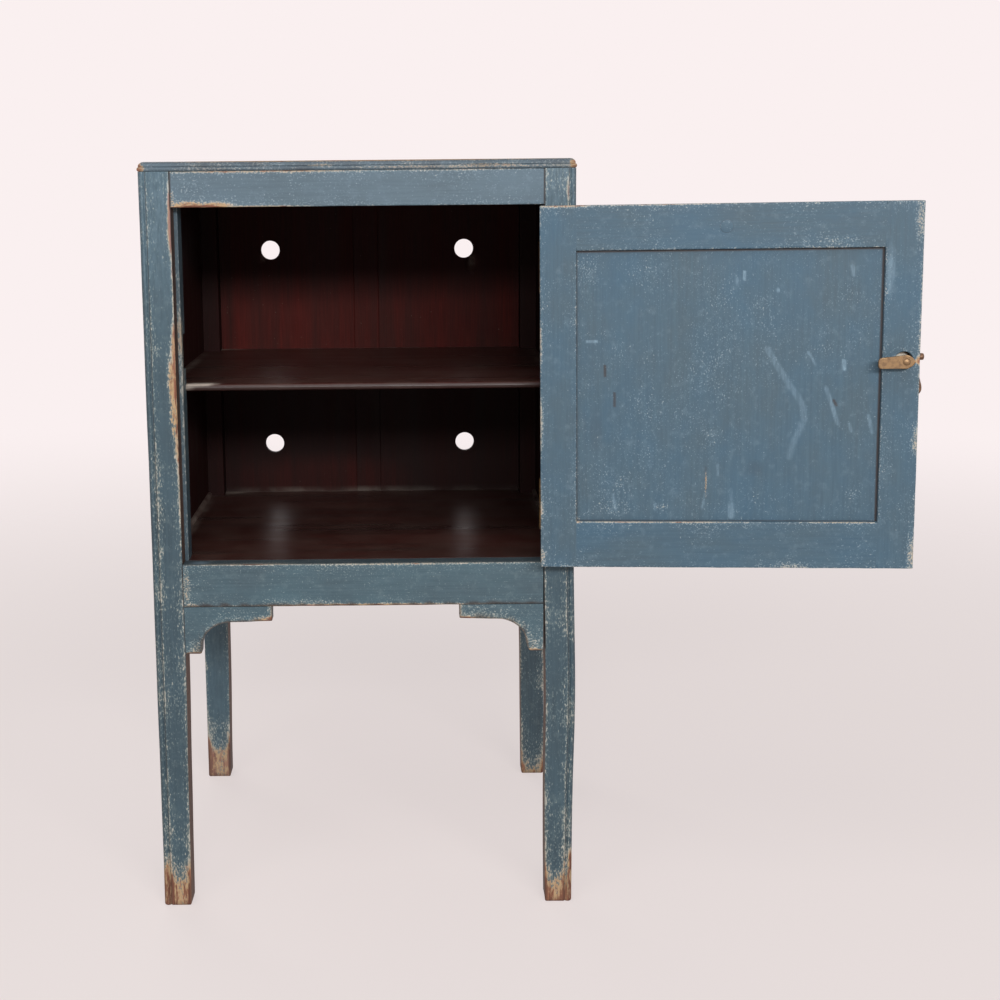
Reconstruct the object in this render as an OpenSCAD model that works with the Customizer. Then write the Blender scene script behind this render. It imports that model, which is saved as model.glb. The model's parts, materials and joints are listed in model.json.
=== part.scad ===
// Bedside pot cupboard: four square legs carry a small painted carcase with one
// shelf, a boarded back with four round vents, and a framed door on the right.
// Millimetres. The front faces -Y, +Z is up, and the origin is on the floor under
// the middle of the carcase. The door is drawn open; its pieces are laid out in
// the closed place and turned about the hinge line.

/* [Carcase] */
// Width over the legs
width = 430; // [415:1:450]
// Depth over the legs
depth = 400; // [370:1:430]
// Height of the whole cupboard
height = 774; // [760:1:800]
// Thickness of the moulded top
top_t = 9.5; // [8:0.5:12]
// Height of the cupboard floor above the room's floor
floor_z = 369; // [355:1:380]
// Height of the shelf's upper face above the room's floor
shelf_z = 549.5; // [545:0.5:555]

/* [Legs] */
// Side of each square leg
leg_side = 31; // [30:0.5:33]
// How much a leg narrows on each inner face, down at the foot
leg_taper = 3; // [0.5:0.5:6]
// Diameter of the bead on the outer corner of each front leg
bead_d = 6; // [4:0.5:7]
// Width of the quirk that sets the bead off
quirk_w = 1.5; // [1:0.1:2]

/* [Rails and brackets] */
// Height of the front and rear top rails
top_rail_h = 35; // [30:1:40]
// Height of the front lower rail
lower_rail_h = 44.5; // [40:0.5:50]
// Thickness of the front rails
rail_t = 21.5; // [20:0.5:24]
// How far rails and side panels stand back from the faces of the legs
set_back = 1; // [0.5:0.5:2]
// Length of the left bracket along the rail
bracket_left_l = 90; // [80:1:100]
// Length of the right bracket along the rail
bracket_right_l = 86; // [80:1:100]
// Drop of each bracket down the leg
bracket_drop = 49.5; // [46:0.5:54]

/* [Boards] */
// Thickness of the side panels
side_t = 10.5; // [10:0.5:12]
// Thickness of the boards of the back
back_t = 8; // [7:0.5:10]
// Thickness of the cupboard floor
floor_t = 12; // [10:0.5:14]
// Thickness of the shelf
shelf_t = 7; // [6:0.5:9]
// How far the shelf's front edge stands behind the front
shelf_back = 40; // [38:1:60]
// Diameter of each vent hole
vent_d = 23; // [18:0.5:28]
// Distance between vent holes from side to side
vent_across = 238; // [200:1:260]
// Distance between vent holes from low to high
vent_up = 240.5; // [220:0.5:250]

/* [Door] */
// Width of the door
door_w = 364.5; // [350:0.5:365]
// Thickness of the door
door_t = 20; // [19:0.5:21]
// Width of the door's stiles
stile_w = 35.5; // [34:0.5:40]
// Width of the door's top rail
door_top_h = 43.5; // [40:0.5:50]
// Width of the door's bottom rail
door_bottom_h = 46.5; // [40:0.5:52]
// Thickness of the door's panel
panel_t = 8; // [7:0.5:9]
// How far the door stands open, in degrees
open_angle = 174.7; // [0:0.1:180]
// Lean of the hinge line out of upright, in degrees
hinge_lean = 0.2; // [0:0.05:0.3]

/* [Brass] */
// Length of each hinge
hinge_l = 50; // [40:1:60]
// Diameter of the hinge knuckles
knuckle_d = 6; // [5.6:0.1:6.4]
// Reach of the catch's long arm from its pivot
arm_l = 26.5; // [24:0.5:28]
// Height of the catch's pivot above the room's floor
catch_z = 576; // [570:1:590]
// Width of the stirrup handle over its lowest corners
stirrup_w = 50.6; // [44:0.2:54]

/* [Hidden] */

paint = "#566f80";
stain = "#3a1512";
raw_pine = "#b98a5c";
brass = "#9c7648";
iron = "#4a4440";
pale_metal = "#b9b4a6";
round_fn = 96;
far = 2 * height;          // longer than any cut needs

front_y = -depth / 2;
back_y = depth / 2;
leg_in_x = width / 2 - leg_side;
leg_in_y = depth / 2 - leg_side;
under_top = height - top_t;
opening_top = under_top - top_rail_h;
rail_bottom = floor_z - lower_rail_h;
rail_y = front_y + set_back;
side_in_x = width / 2 - set_back - side_t;
back_in_y = back_y - back_t;

// the moulded edge of the top
top_over = 0.5;            // how far it stands out past the legs
edge_bead_r = 2.3;
ovolo_back = 1.2;
ovolo_w = 5.4;
ovolo_z = 4.9;

// joints in the carcase
tenon_l = 15;
tenon_t = 8;
shoulder = 5;
tongue_t = 6;
tongue_l = 8;
rear_rail_t = 20;
rear_lower_h = floor_z - floor_t - rail_bottom;
rebate_w = 10;             // the back boards overlap the rear legs by this much
housing_d = 3;             // depth of the shelf's housings in the side panels
slip_x = [-19.4, 10.8];    // seams on both sides of the narrow board of the back
vent_mid = [-2.5, 550.7];
stop_w = 3.7;
stop_y = [front_y + set_back + door_t + 0.3, front_y + 46];
notch_y = front_y + leg_side - 0.2;
notch_z = [catch_z - 10, catch_z + arm_l - 0.5];
bead_r = 4.5;
bearer = 15;
taper_below = 10;          // the legs narrow from this far below the brackets
bracket_t = 16;
glue_side = 14;
glue_l = 50;
screw_d = 4;
top_screw_x = 110;
top_screw_l = 28;
top_screw_z = 14;          // the heads sit this far up inside the top rails
counterbore_d = 9;
nail_head_d = 4;
nail_head_t = 0.8;
nail_d = 1.8;
nail_l = 22;
nail_x = [-175, -98, -40, -4.4, 40, 98, 175];

// the door's place when it is shut
door_y = [rail_y, rail_y + door_t];
door_x1 = leg_in_x - 0.8;
door_x0 = door_x1 - door_w;
door_z = [floor_z + 1.2, opening_top - 1.3];
door_mid_z = (door_z[0] + door_z[1]) / 2;
panel_y = door_y[0] + 7;
groove_d = 6;
plug_d = 13;
plug_in = 179;             // from the hinged edge to the plug's middle
door_tenon_l = 24;

// hinges: leaves are laid out beside the pin, with the pin at the origin
pin = [door_x1 - 1.5, front_y - 3];
pin_d = 3;
pin_play = 0.08;
leaf_t = 1.8;
leaf_w = 18;
knuckles = 5;
knuckle_gap = 0.3;
knuckle_l = (hinge_l - (knuckles - 1) * knuckle_gap) / knuckles;
leaf_in = knuckle_d / 2 - leaf_t;
hinge_offset = (door_z[1] - door_z[0]) / 2 - 60;
hinge_screw_y = 11.5;
hinge_screw_step = 17;
hinge_screw_l = 15;

// the catch and its handle share one spindle across the door
catch_x = door_x0 + 15.2;
spindle_d = 6;
hole_d = 17.5;
bush_d = 13.4;
bush_l = 10;
bore_play = 0.06;
lever_y = notch_y + 0.6;
lever_t = 2.4;
hub_r = 6.6;
arm_w = 10.2;
arm_drop = 1.6;            // the arm hangs this much below the pivot
tip_l = 9;                 // the short pointed tail
tip_w = 8.8;
rivet_d = 7.1;
rivet_shank_d = 3.4;
rose_d = 27;
rose_t = 2.4;
rose_pin_d = 1.8;
rose_pin_at = 10.6;
bar_out = 14;              // the crossbar's distance from the door's outer face
bar_y = door_y[0] - bar_out;
bar_d = 5;
bar_l = 52.2;
knob_d = 6.8;
knob_l = 5.6;
boss_d = 10;
eye_x = 15.3;
eye_w = 4.6;
eye_d = 8.6;
wire_d = 4.6;
wire_turn = 0.3;           // how much fuller the wire is at each turn
stirrup_drop = 37.8;       // from the crossbar's middle to the lowest point of the wire's middle

// ---- small shapes that repeat ----

// a block between two corners
module block(low, high) {
    translate(low) cube(high - low);
}

// a cylinder along X, from x0 to x1
module bar_x(d, x0, x1) {
    translate([x0, 0, 0]) rotate([0, 90, 0]) cylinder(d = d, h = x1 - x0, $fn = round_fn);
}

// a cylinder along Y, from y0 to y1
module bar_y(d, y0, y1) {
    translate([0, y0, 0]) rotate([-90, 0, 0]) cylinder(d = d, h = y1 - y0, $fn = round_fn);
}

// round wire along a few points, a little fuller where it turns
module wire(points, d) {
    for (i = [0:len(points) - 2])
        let (run = points[i + 1] - points[i])
            translate(points[i]) rotate([0, acos(run[2] / norm(run)), atan2(run[1], run[0])])
                cylinder(d = d, h = norm(run), $fn = round_fn);
    for (i = [1:len(points) - 1])
        translate(points[i]) sphere(d = d + wire_turn, $fn = round_fn);
}

// a slotted countersunk screw, its head's face at z = 0 and its point at -l
module screw(d, l) {
    difference() {
        union() {
            translate([0, 0, -d * 0.45]) cylinder(d1 = d, d2 = d * 1.9, h = d * 0.45, $fn = round_fn);
            translate([0, 0, -l]) cylinder(d = d, h = l - d * 0.45, $fn = round_fn);
        }
        block([-d, -0.35, -0.5], [d, 0.35, 1]);
    }
}

// the hole that such a screw fills
module screw_hole(d, l) {
    translate([0, 0, -d * 0.45]) cylinder(d1 = d, d2 = d * 1.9, h = d * 0.45, $fn = round_fn);
    translate([0, 0, -l]) cylinder(d = d, h = l - d * 0.45, $fn = round_fn);
    cylinder(d = d * 1.9, h = 1, $fn = round_fn);
}

// ---- the carcase's joints ----

// a rail between two legs, with a tenon at each end
module rail(y0, y1, z0, z1) {
    block([-leg_in_x, y0, z0], [leg_in_x, y1, z1]);
    rail_tenons(y0, y1, z0, z1);
}

module rail_tenons(y0, y1, z0, z1) {
    mid = (y0 + y1) / 2;
    block([-leg_in_x - tenon_l, mid - tenon_t / 2, z0 + shoulder],
        [leg_in_x + tenon_l, mid + tenon_t / 2, z1 - shoulder]);
}

module all_tenons() {
    rail_tenons(rail_y, rail_y + rail_t, opening_top, under_top);
    rail_tenons(rail_y, rail_y + rail_t, rail_bottom, floor_z);
    rail_tenons(back_in_y - rear_rail_t, back_in_y, opening_top, under_top);
    rail_tenons(back_in_y - rear_rail_t, back_in_y, rail_bottom, rail_bottom + rear_lower_h);
}

// the tongues on a side panel's front and rear edges
module side_tongues() {
    mid = side_in_x + side_t / 2;
    for (s = [-1, 1])
        block([s * mid - tongue_t / 2, -leg_in_y - tongue_l, rail_bottom],
            [s * mid + tongue_t / 2, leg_in_y + tongue_l, under_top]);
}

// ---- legs ----

// a leg's section with its outer corner at the origin, the beaded corner first
module leg_section(beaded) {
    notch = bead_d + quirk_w;
    if (beaded) {
        difference() {
            square(leg_side);
            square(notch);
        }
        translate([bead_d / 2, bead_d / 2]) {
            circle(d = bead_d, $fn = round_fn);
            square(notch - bead_d / 2);
        }
    } else
        square(leg_side);
}

// a leg at the front left corner's place: outer corner at the origin, foot at z = 0
module leg_blank(beaded) {
    taper_h = rail_bottom - bracket_drop - taper_below;
    difference() {
        linear_extrude(under_top) leg_section(beaded);
        // the inner faces narrow towards the foot
        translate([0, -1, 0]) rotate([90, 0, 0]) mirror([0, 0, 1]) linear_extrude(leg_side + 2)
            polygon([[leg_side - leg_taper, -1], [leg_side + 1, -1], [leg_side + 1, taper_h],
                [leg_side, taper_h]]);
        translate([-1, 0, 0]) rotate([90, 0, 90]) linear_extrude(leg_side + 2)
            polygon([[leg_side - leg_taper, -1], [leg_side + 1, -1], [leg_side + 1, taper_h],
                [leg_side, taper_h]]);
    }
}

module leg(side, end, beaded) {
    difference() {
        mirror([side > 0 ? 1 : 0, 0, 0]) mirror([0, end > 0 ? 1 : 0, 0])
            translate([-width / 2, front_y, 0]) leg_blank(beaded);
        all_tenons();
        side_tongues();
    }
}

module leg_front_left() {
    color(paint) leg(-1, -1, true);
}

module leg_front_right() {
    color(paint) difference() {
        leg(1, -1, true);
        for (s = [-1, 1]) at_hinge(s) {
            hinge_leaf_space(1);
            hinge_screw_places() screw_hole(screw_d - 0.5, hinge_screw_l);
        }
    }
}

// the rear legs have a rebate for the boards of the back
module leg_rear(side) {
    color(paint) difference() {
        leg(side, 1, false);
        block([-leg_in_x - rebate_w, back_in_y, rail_bottom], [leg_in_x + rebate_w, far, under_top + 1]);
    }
}

module leg_rear_left() { leg_rear(-1); }
module leg_rear_right() { leg_rear(1); }

// ---- rails, brackets and top ----

module top_screw_places() {
    for (x = [-top_screw_x, top_screw_x], y = [rail_y + rail_t / 2, back_in_y - rear_rail_t / 2])
        translate([x, y, opening_top + top_screw_z]) mirror([0, 0, 1]) children();
}

module rail_front_top() {
    color(paint) difference() {
        rail(rail_y, rail_y + rail_t, opening_top, under_top);
        top_screw_places() screw_hole(screw_d, top_screw_l);
        top_screw_places() cylinder(d = counterbore_d, h = top_screw_z + 1, $fn = round_fn);
    }
}

module rail_front_lower() {
    color(paint) rail(rail_y, rail_y + rail_t, rail_bottom, floor_z);
}

module rail_rear_top() {
    color(stain) difference() {
        rail(back_in_y - rear_rail_t, back_in_y, opening_top, under_top);
        top_screw_places() screw_hole(screw_d, top_screw_l);
        top_screw_places() cylinder(d = counterbore_d, h = top_screw_z + 1, $fn = round_fn);
        back_nail_places() nail();
    }
}

module rail_rear_lower() {
    color(raw_pine) difference() {
        rail(back_in_y - rear_rail_t, back_in_y, rail_bottom, rail_bottom + rear_lower_h);
        back_nail_places() nail();
    }
}

// the moulded edge, from the underside to the top: a rounded bead, then an ovolo set back
function edge_profile() =
    concat([for (a = [-90:15:75]) [edge_bead_r * (cos(a) - 1), edge_bead_r * (1 + sin(a))]],
        [for (a = [0:15:90])
            [ovolo_w * (cos(a) - 1) - ovolo_back, ovolo_z + (top_t - ovolo_z) * sin(a)]]);

// the same edge for the other side of a board, from the top to the underside
function edge_mirrored() =
    let (edge = edge_profile()) [for (i = [len(edge) - 1:-1:0]) [-edge[i][0], edge[i][1]]];

module top_board() {
    side = width / 2 + top_over;
    front = front_y - top_over;
    color(paint) difference() {
        intersection() {
            // moulded on the left and right
            translate([0, back_y, under_top]) rotate([90, 0, 0]) linear_extrude(back_y - front)
                polygon(concat([for (p = edge_profile()) p + [side, 0]],
                    [for (p = edge_mirrored()) p - [side, 0]]));
            // moulded along the front, square at the back
            translate([-side, 0, under_top]) rotate([90, 0, 90]) linear_extrude(2 * side)
                polygon(concat([for (p = edge_mirrored()) p + [front, 0]],
                    [[back_y, 0], [back_y, top_t]]));
        }
        top_screw_places() screw_hole(screw_d, top_screw_l);
    }
}

// a bracket's outline, from the leg out along the rail and down the leg
function bracket_outline(l) =
    concat([[0, 0], [l, 0], [l, -14.3]],
        [for (a = [0:6:90]) [47 - 30 * sin(a), -42 + 26.5 * cos(a)]],
        [[14, -bracket_drop], [0, -bracket_drop]]);

module bracket(side, l) {
    color(paint) mirror([side > 0 ? 1 : 0, 0, 0])
        translate([-leg_in_x, rail_y, rail_bottom]) rotate([90, 0, 0]) mirror([0, 0, 1])
            linear_extrude(bracket_t) polygon(bracket_outline(l));
}

module bracket_left() { bracket(-1, bracket_left_l); }
module bracket_right() { bracket(1, bracket_right_l); }

// ---- sides, back, floor and shelf ----

module side_panel(side) {
    color(stain) difference() {
        union() {
            block([side * (side_in_x + side_t / 2) - side_t / 2, -leg_in_y, rail_bottom],
                [side * (side_in_x + side_t / 2) + side_t / 2, leg_in_y, under_top]);
            intersection() {
                side_tongues();
                block([side > 0 ? 0 : -far, -far, 0], [side > 0 ? far : 0, far, far]);
            }
        }
        shelf_blank();
    }
}

module side_panel_left() { side_panel(-1); }
module side_panel_right() { side_panel(1); }

module vent_places() {
    for (x = [-1, 1], z = [-1, 1])
        translate([vent_mid[0] + x * vent_across / 2, 0, vent_mid[1] + z * vent_up / 2]) children();
}

module back_nail_places() {
    for (x = nail_x, z = [rail_bottom + 16, under_top - 14])
        translate([x, back_y, z]) children();
}

// a cut nail with its head let in flush with the boards
module nail() {
    bar_y(nail_head_d, -nail_head_t, 0);
    bar_y(nail_d, -nail_l, -nail_head_t);
}

module back_board(x0, x1) {
    color(stain) difference() {
        block([x0, back_in_y, rail_bottom + 4], [x1, back_y, under_top]);
        vent_places() bar_y(vent_d, back_in_y - 1, back_y + 1);
        back_nail_places() nail();
    }
}

module back_board_left() { back_board(-leg_in_x - rebate_w, slip_x[0]); }
module back_slip() { back_board(slip_x[0], slip_x[1]); }
module back_board_right() { back_board(slip_x[1], leg_in_x + rebate_w); }

module back_nails() {
    color(iron) back_nail_places() nail();
}

module floor_board() {
    color(stain) {
        block([-side_in_x, -leg_in_y, floor_z - floor_t], [side_in_x, leg_in_y, floor_z]);
        block([-leg_in_x, rail_y + rail_t, floor_z - floor_t], [leg_in_x, back_in_y, floor_z]);
    }
}

module floor_bearer(side) {
    color(raw_pine) block([side > 0 ? side_in_x - bearer : -side_in_x, -leg_in_y, floor_z - floor_t - bearer],
        [side > 0 ? side_in_x : -side_in_x + bearer, leg_in_y, floor_z - floor_t]);
}

module floor_bearer_left() { floor_bearer(-1); }
module floor_bearer_right() { floor_bearer(1); }

// a quarter-round bead where the floor meets a side panel
module floor_bead(side) {
    color(stain) intersection() {
        translate([side * side_in_x, 0, floor_z]) bar_y(2 * bead_r, -leg_in_y, leg_in_y);
        block([side > 0 ? 0 : -side_in_x, -far, floor_z], [side > 0 ? side_in_x : 0, far, far]);
    }
}

module floor_bead_left() { floor_bead(-1); }
module floor_bead_right() { floor_bead(1); }

// the shelf, housed in both side panels and notched round the rear legs
module shelf_blank() {
    nose = shelf_t / 2;
    shelf_x = side_in_x + housing_d;
    translate([0, front_y + shelf_back + nose, shelf_z - nose]) bar_x(shelf_t, -shelf_x, shelf_x);
    block([-shelf_x, front_y + shelf_back + nose, shelf_z - shelf_t], [shelf_x, leg_in_y, shelf_z]);
    block([-leg_in_x, leg_in_y - 1, shelf_z - shelf_t], [leg_in_x, back_in_y, shelf_z]);
}

module shelf() {
    color(stain) shelf_blank();
}

// the strip that the door closes on, cut away where the catch's arm passes
module door_stop() {
    color(paint) difference() {
        block([-leg_in_x, stop_y[0], floor_z], [-leg_in_x + stop_w, stop_y[1], opening_top]);
        block([-leg_in_x - 1, notch_y, notch_z[0]], [0, far, notch_z[1]]);
        shelf_blank();
    }
}

// rubbed glue blocks under the top: two on each side panel, one on each top rail
module glue_blocks() {
    color(raw_pine) {
        for (s = [-1, 1], y = [-110, 60])
            block([s > 0 ? side_in_x - glue_side : -side_in_x, y, under_top - glue_side],
                [s > 0 ? side_in_x : -side_in_x + glue_side, y + glue_l, under_top]);
        for (y = [rail_y + rail_t, back_in_y - rear_rail_t - glue_side])
            block([-glue_l / 2, y, under_top - glue_side],
                [glue_l / 2, y + glue_side, under_top]);
    }
}

module top_screws() {
    color(iron) top_screw_places() screw(screw_d, top_screw_l);
}

// ---- hinges ----

// moves a hinge to its place on the leaning hinge line, upper for s = 1
module at_hinge(s) {
    translate([pin[0], pin[1], door_mid_z]) rotate([0, -hinge_lean, 0])
        translate([0, 0, s * hinge_offset]) children();
}

// turns a piece that is laid out in the shut door to where the open door stands
module on_door() {
    translate([pin[0], pin[1], door_mid_z]) rotate([0, -hinge_lean, 0]) rotate([0, 0, open_angle])
        rotate([0, hinge_lean, 0]) translate([-pin[0], -pin[1], -door_mid_z]) children();
}

// the space that a leaf takes in the wood: side 1 is the leg's, -1 the door's
module hinge_leaf_space(side) {
    slack = side < 0 ? 0.4 : 0;
    mirror([side < 0 ? 1 : 0, 0, 0])
        block([side < 0 ? -10 : leaf_in, 0, -hinge_l / 2 - slack],
            [knuckle_d / 2, leaf_w + slack, hinge_l / 2 + slack]);
}

module hinge_screw_places() {
    for (z = [-1:1])
        translate([leaf_in, hinge_screw_y, z * hinge_screw_step]) rotate([0, -90, 0]) children();
}

// one leaf with its knuckles: first 0 gives knuckles 1, 3 and 5, first 1 gives 2 and 4
module hinge_leaf(first, bore) {
    step = knuckle_l + knuckle_gap;
    difference() {
        union() {
            block([leaf_in, knuckle_d / 2 + 0.3, -hinge_l / 2], [knuckle_d / 2, leaf_w, hinge_l / 2]);
            for (k = [first:2:knuckles - 1])
                translate([0, 0, -hinge_l / 2 + k * step]) {
                    cylinder(d = knuckle_d, h = knuckle_l, $fn = round_fn);
                    block([leaf_in, 0, 0], [knuckle_d / 2, knuckle_d / 2 + 1, knuckle_l]);
                }
        }
        cylinder(d = bore, h = 2 * hinge_l, center = true, $fn = round_fn);
        hinge_screw_places() screw_hole(screw_d - 0.5, hinge_screw_l);
    }
}

module hinge_leg_leaf(s) {
    color(brass) at_hinge(s) hinge_leaf(0, pin_d);
}

module hinge_leg_leaf_upper() { hinge_leg_leaf(1); }
module hinge_leg_leaf_lower() { hinge_leg_leaf(-1); }

module hinge_leg_screws() {
    color(brass) for (s = [-1, 1]) at_hinge(s) hinge_screw_places() screw(screw_d - 0.5, hinge_screw_l);
}

module hinge_pin(s) {
    color(brass) at_hinge(s) {
        cylinder(d = pin_d, h = hinge_l, center = true, $fn = round_fn);
        for (e = [-1, 1])
            translate([0, 0, e * (hinge_l / 2 + 0.6)])
                cylinder(d = knuckle_d - 1, h = 1.2, center = true, $fn = round_fn);
    }
}

module hinge_pin_upper() { hinge_pin(1); }
module hinge_pin_lower() { hinge_pin(-1); }

module hinge_door_leaf(s) {
    color(brass) on_door() at_hinge(s) mirror([1, 0, 0]) hinge_leaf(1, pin_d + 2 * pin_play);
}

module hinge_door_leaf_upper() { hinge_door_leaf(1); }
module hinge_door_leaf_lower() { hinge_door_leaf(-1); }

module hinge_door_screws() {
    color(brass) on_door() for (s = [-1, 1])
        at_hinge(s) mirror([1, 0, 0]) hinge_screw_places() screw(screw_d - 0.5, hinge_screw_l);
}

// ---- the door, laid out shut ----

module door_rail_tenons() {
    mid = panel_y + panel_t / 2;
    for (z = [[door_z[0] + 8, door_z[0] + door_bottom_h - groove_d],
            [door_z[1] - door_top_h + groove_d, door_z[1] - 8]])
        block([door_x0 + stile_w - door_tenon_l, mid - panel_t / 2, z[0]],
            [door_x1 - stile_w + door_tenon_l, mid + panel_t / 2, z[1]]);
}

module panel_blank() {
    block([door_x0 + stile_w - groove_d, panel_y, door_z[0] + door_bottom_h - groove_d],
        [door_x1 - stile_w + groove_d, panel_y + panel_t, door_z[1] - door_top_h + groove_d]);
}

module stile(x0, x1) {
    difference() {
        block([x0, door_y[0], door_z[0]], [x1, door_y[1], door_z[1]]);
        door_rail_tenons();
        panel_blank();
    }
}

module door_stile_hinge() {
    color(paint) on_door() difference() {
        stile(door_x1 - stile_w, door_x1);
        for (s = [-1, 1]) at_hinge(s) {
            hinge_leaf_space(-1);
            mirror([1, 0, 0]) hinge_screw_places() screw_hole(screw_d - 0.5, hinge_screw_l);
        }
    }
}

module door_stile_catch() {
    color(paint) on_door() difference() {
        stile(door_x0, door_x0 + stile_w);
        translate([catch_x, 0, catch_z]) bar_y(hole_d, door_y[0] - 1, door_y[1] + 1);
        rose_pin_places() rose_pin();
    }
}

module door_rail(z0, z1) {
    color(paint) on_door() difference() {
        union() {
            block([door_x0 + stile_w, door_y[0], z0], [door_x1 - stile_w, door_y[1], z1]);
            intersection() {
                door_rail_tenons();
                block([-far, -far, z0], [far, far, z1]);
            }
        }
        panel_blank();
        plug_blank();
    }
}

module door_rail_top() { door_rail(door_z[1] - door_top_h, door_z[1]); }
module door_rail_bottom() { door_rail(door_z[0], door_z[0] + door_bottom_h); }

module door_panel() {
    color(paint) on_door() panel_blank();
}

// a wooden plug in an old hole through the top rail
module plug_blank() {
    translate([door_x1 - plug_in, 0, door_z[1] - door_top_h / 2]) bar_y(plug_d, door_y[0], door_y[1]);
}

module door_plug() {
    color(paint) on_door() plug_blank();
}

// ---- the catch and its handle ----

module at_catch() {
    on_door() translate([catch_x, 0, catch_z]) children();
}

module rose_pin_places() {
    for (s = [-1, 1])
        translate([catch_x, 0, catch_z + s * rose_pin_at]) children();
}

module rose_pin() {
    bar_y(rose_pin_d, door_y[0] - rose_t - 0.4, door_y[0] + 6);
}

module handle_rose() {
    color(brass) on_door() difference() {
        translate([catch_x, 0, catch_z]) {
            bar_y(rose_d, door_y[0] - rose_t * 0.5, door_y[0]);
            translate([0, door_y[0] - rose_t * 0.5, 0]) rotate([90, 0, 0])
                cylinder(d1 = rose_d, d2 = rose_d - 6, h = rose_t * 0.5, $fn = round_fn);
        }
        translate([catch_x, 0, catch_z]) bar_y(bush_d, door_y[0] - rose_t - 1, door_y[0] + 1);
        rose_pin_places() rose_pin();
    }
}

module rose_pins() {
    color(brass) on_door() rose_pin_places() rose_pin();
}

// the sleeve that the spindle turns in, seen inside the wide hole in the stile
module spindle_bush() {
    color(pale_metal) at_catch() difference() {
        bar_y(bush_d, door_y[0] - rose_t, door_y[0] + bush_l);
        bar_y(spindle_d + 2 * bore_play, door_y[0] - rose_t - 1, door_y[0] + bush_l + 1);
    }
}

// the spindle from the handle's boss, through the bush, to the back of the lever
module catch_spindle() {
    color(brass) at_catch() difference() {
        union() {
            bar_y(spindle_d, bar_y, lever_y);
            bar_y(boss_d, bar_y - boss_d / 2, door_y[0] - rose_t - 0.4);
        }
        bar_y(rivet_shank_d, lever_y - 9, lever_y + 1);
        translate([0, bar_y, 0]) bar_x(bar_d, -boss_d, boss_d);
    }
}

module catch_lever() {
    color(brass) at_catch() difference() {
        union() {
            bar_y(2 * hub_r, lever_y, lever_y + lever_t);
            // the long arm, round at its end, set a little below the pivot
            translate([0, 0, -arm_drop]) {
                block([0, lever_y, -arm_w / 2], [arm_l - arm_w / 2, lever_y + lever_t, arm_w / 2]);
                translate([arm_l - arm_w / 2, 0, 0]) bar_y(arm_w, lever_y, lever_y + lever_t);
            }
            // the short pointed tail
            translate([0, lever_y + lever_t, 0]) rotate([90, 0, 0]) linear_extrude(lever_t)
                polygon([[0, hub_r], [0, -hub_r], [-5, -tip_w / 2], [-tip_l, 0], [-5, tip_w / 2]]);
        }
        bar_y(rivet_shank_d, lever_y - 1, lever_y + lever_t + 1);
    }
}

module catch_rivet() {
    color(brass) at_catch() {
        bar_y(rivet_shank_d, lever_y - 9, lever_y + lever_t + 0.2);
        translate([0, lever_y + lever_t, 0]) rotate([-90, 0, 0])
            cylinder(d1 = rivet_d, d2 = rivet_d - 2.2, h = 1.2, $fn = round_fn);
    }
}

// the bar across the spindle's head, with a knob at each end
module handle_crossbar() {
    color(brass) at_catch() translate([0, bar_y, 0]) {
        bar_x(bar_d, -bar_l / 2 + 1, bar_l / 2 - 1);
        for (s = [-1, 1])
            rotate([0, s * 90, 0]) translate([0, 0, bar_l / 2 - knob_l]) {
                cylinder(d = knob_d, h = knob_l - 1, $fn = round_fn);
                translate([0, 0, knob_l - 1]) cylinder(d1 = knob_d, d2 = knob_d - 2, h = 1, $fn = round_fn);
            }
    }
}

// a loop of round wire that swings on the crossbar
module handle_stirrup() {
    half = stirrup_w / 2 - wire_d / 2;
    side = [[eye_x, 0, -3], [half - 0.2, 0, 5.4 - stirrup_drop], [half - 3.2, 0, 1.4 - stirrup_drop],
        [0, 0, -stirrup_drop]];
    color(brass) at_catch() translate([0, bar_y, 0]) difference() {
        union() for (s = [0, 1]) mirror([s, 0, 0]) {
            wire(side, wire_d);
            bar_x(eye_d, eye_x - eye_w / 2, eye_x + eye_w / 2);
        }
        bar_x(bar_d + 2 * bore_play, -stirrup_w, stirrup_w);
    }
}

top_board();
leg_front_left();
leg_front_right();
leg_rear_left();
leg_rear_right();
rail_front_top();
rail_front_lower();
rail_rear_top();
rail_rear_lower();
side_panel_left();
side_panel_right();
back_board_left();
back_slip();
back_board_right();
floor_board();
floor_bearer_left();
floor_bearer_right();
floor_bead_left();
floor_bead_right();
shelf();
door_stop();
bracket_left();
bracket_right();
glue_blocks();
top_screws();
back_nails();
hinge_leg_leaf_upper();
hinge_leg_leaf_lower();
hinge_leg_screws();
hinge_pin_upper();
hinge_pin_lower();
door_stile_hinge();
door_stile_catch();
door_rail_top();
door_rail_bottom();
door_panel();
door_plug();
hinge_door_leaf_upper();
hinge_door_leaf_lower();
hinge_door_screws();
handle_rose();
rose_pins();
spindle_bush();
catch_spindle();
catch_lever();
catch_rivet();
handle_crossbar();
handle_stirrup();
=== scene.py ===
import json

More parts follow.
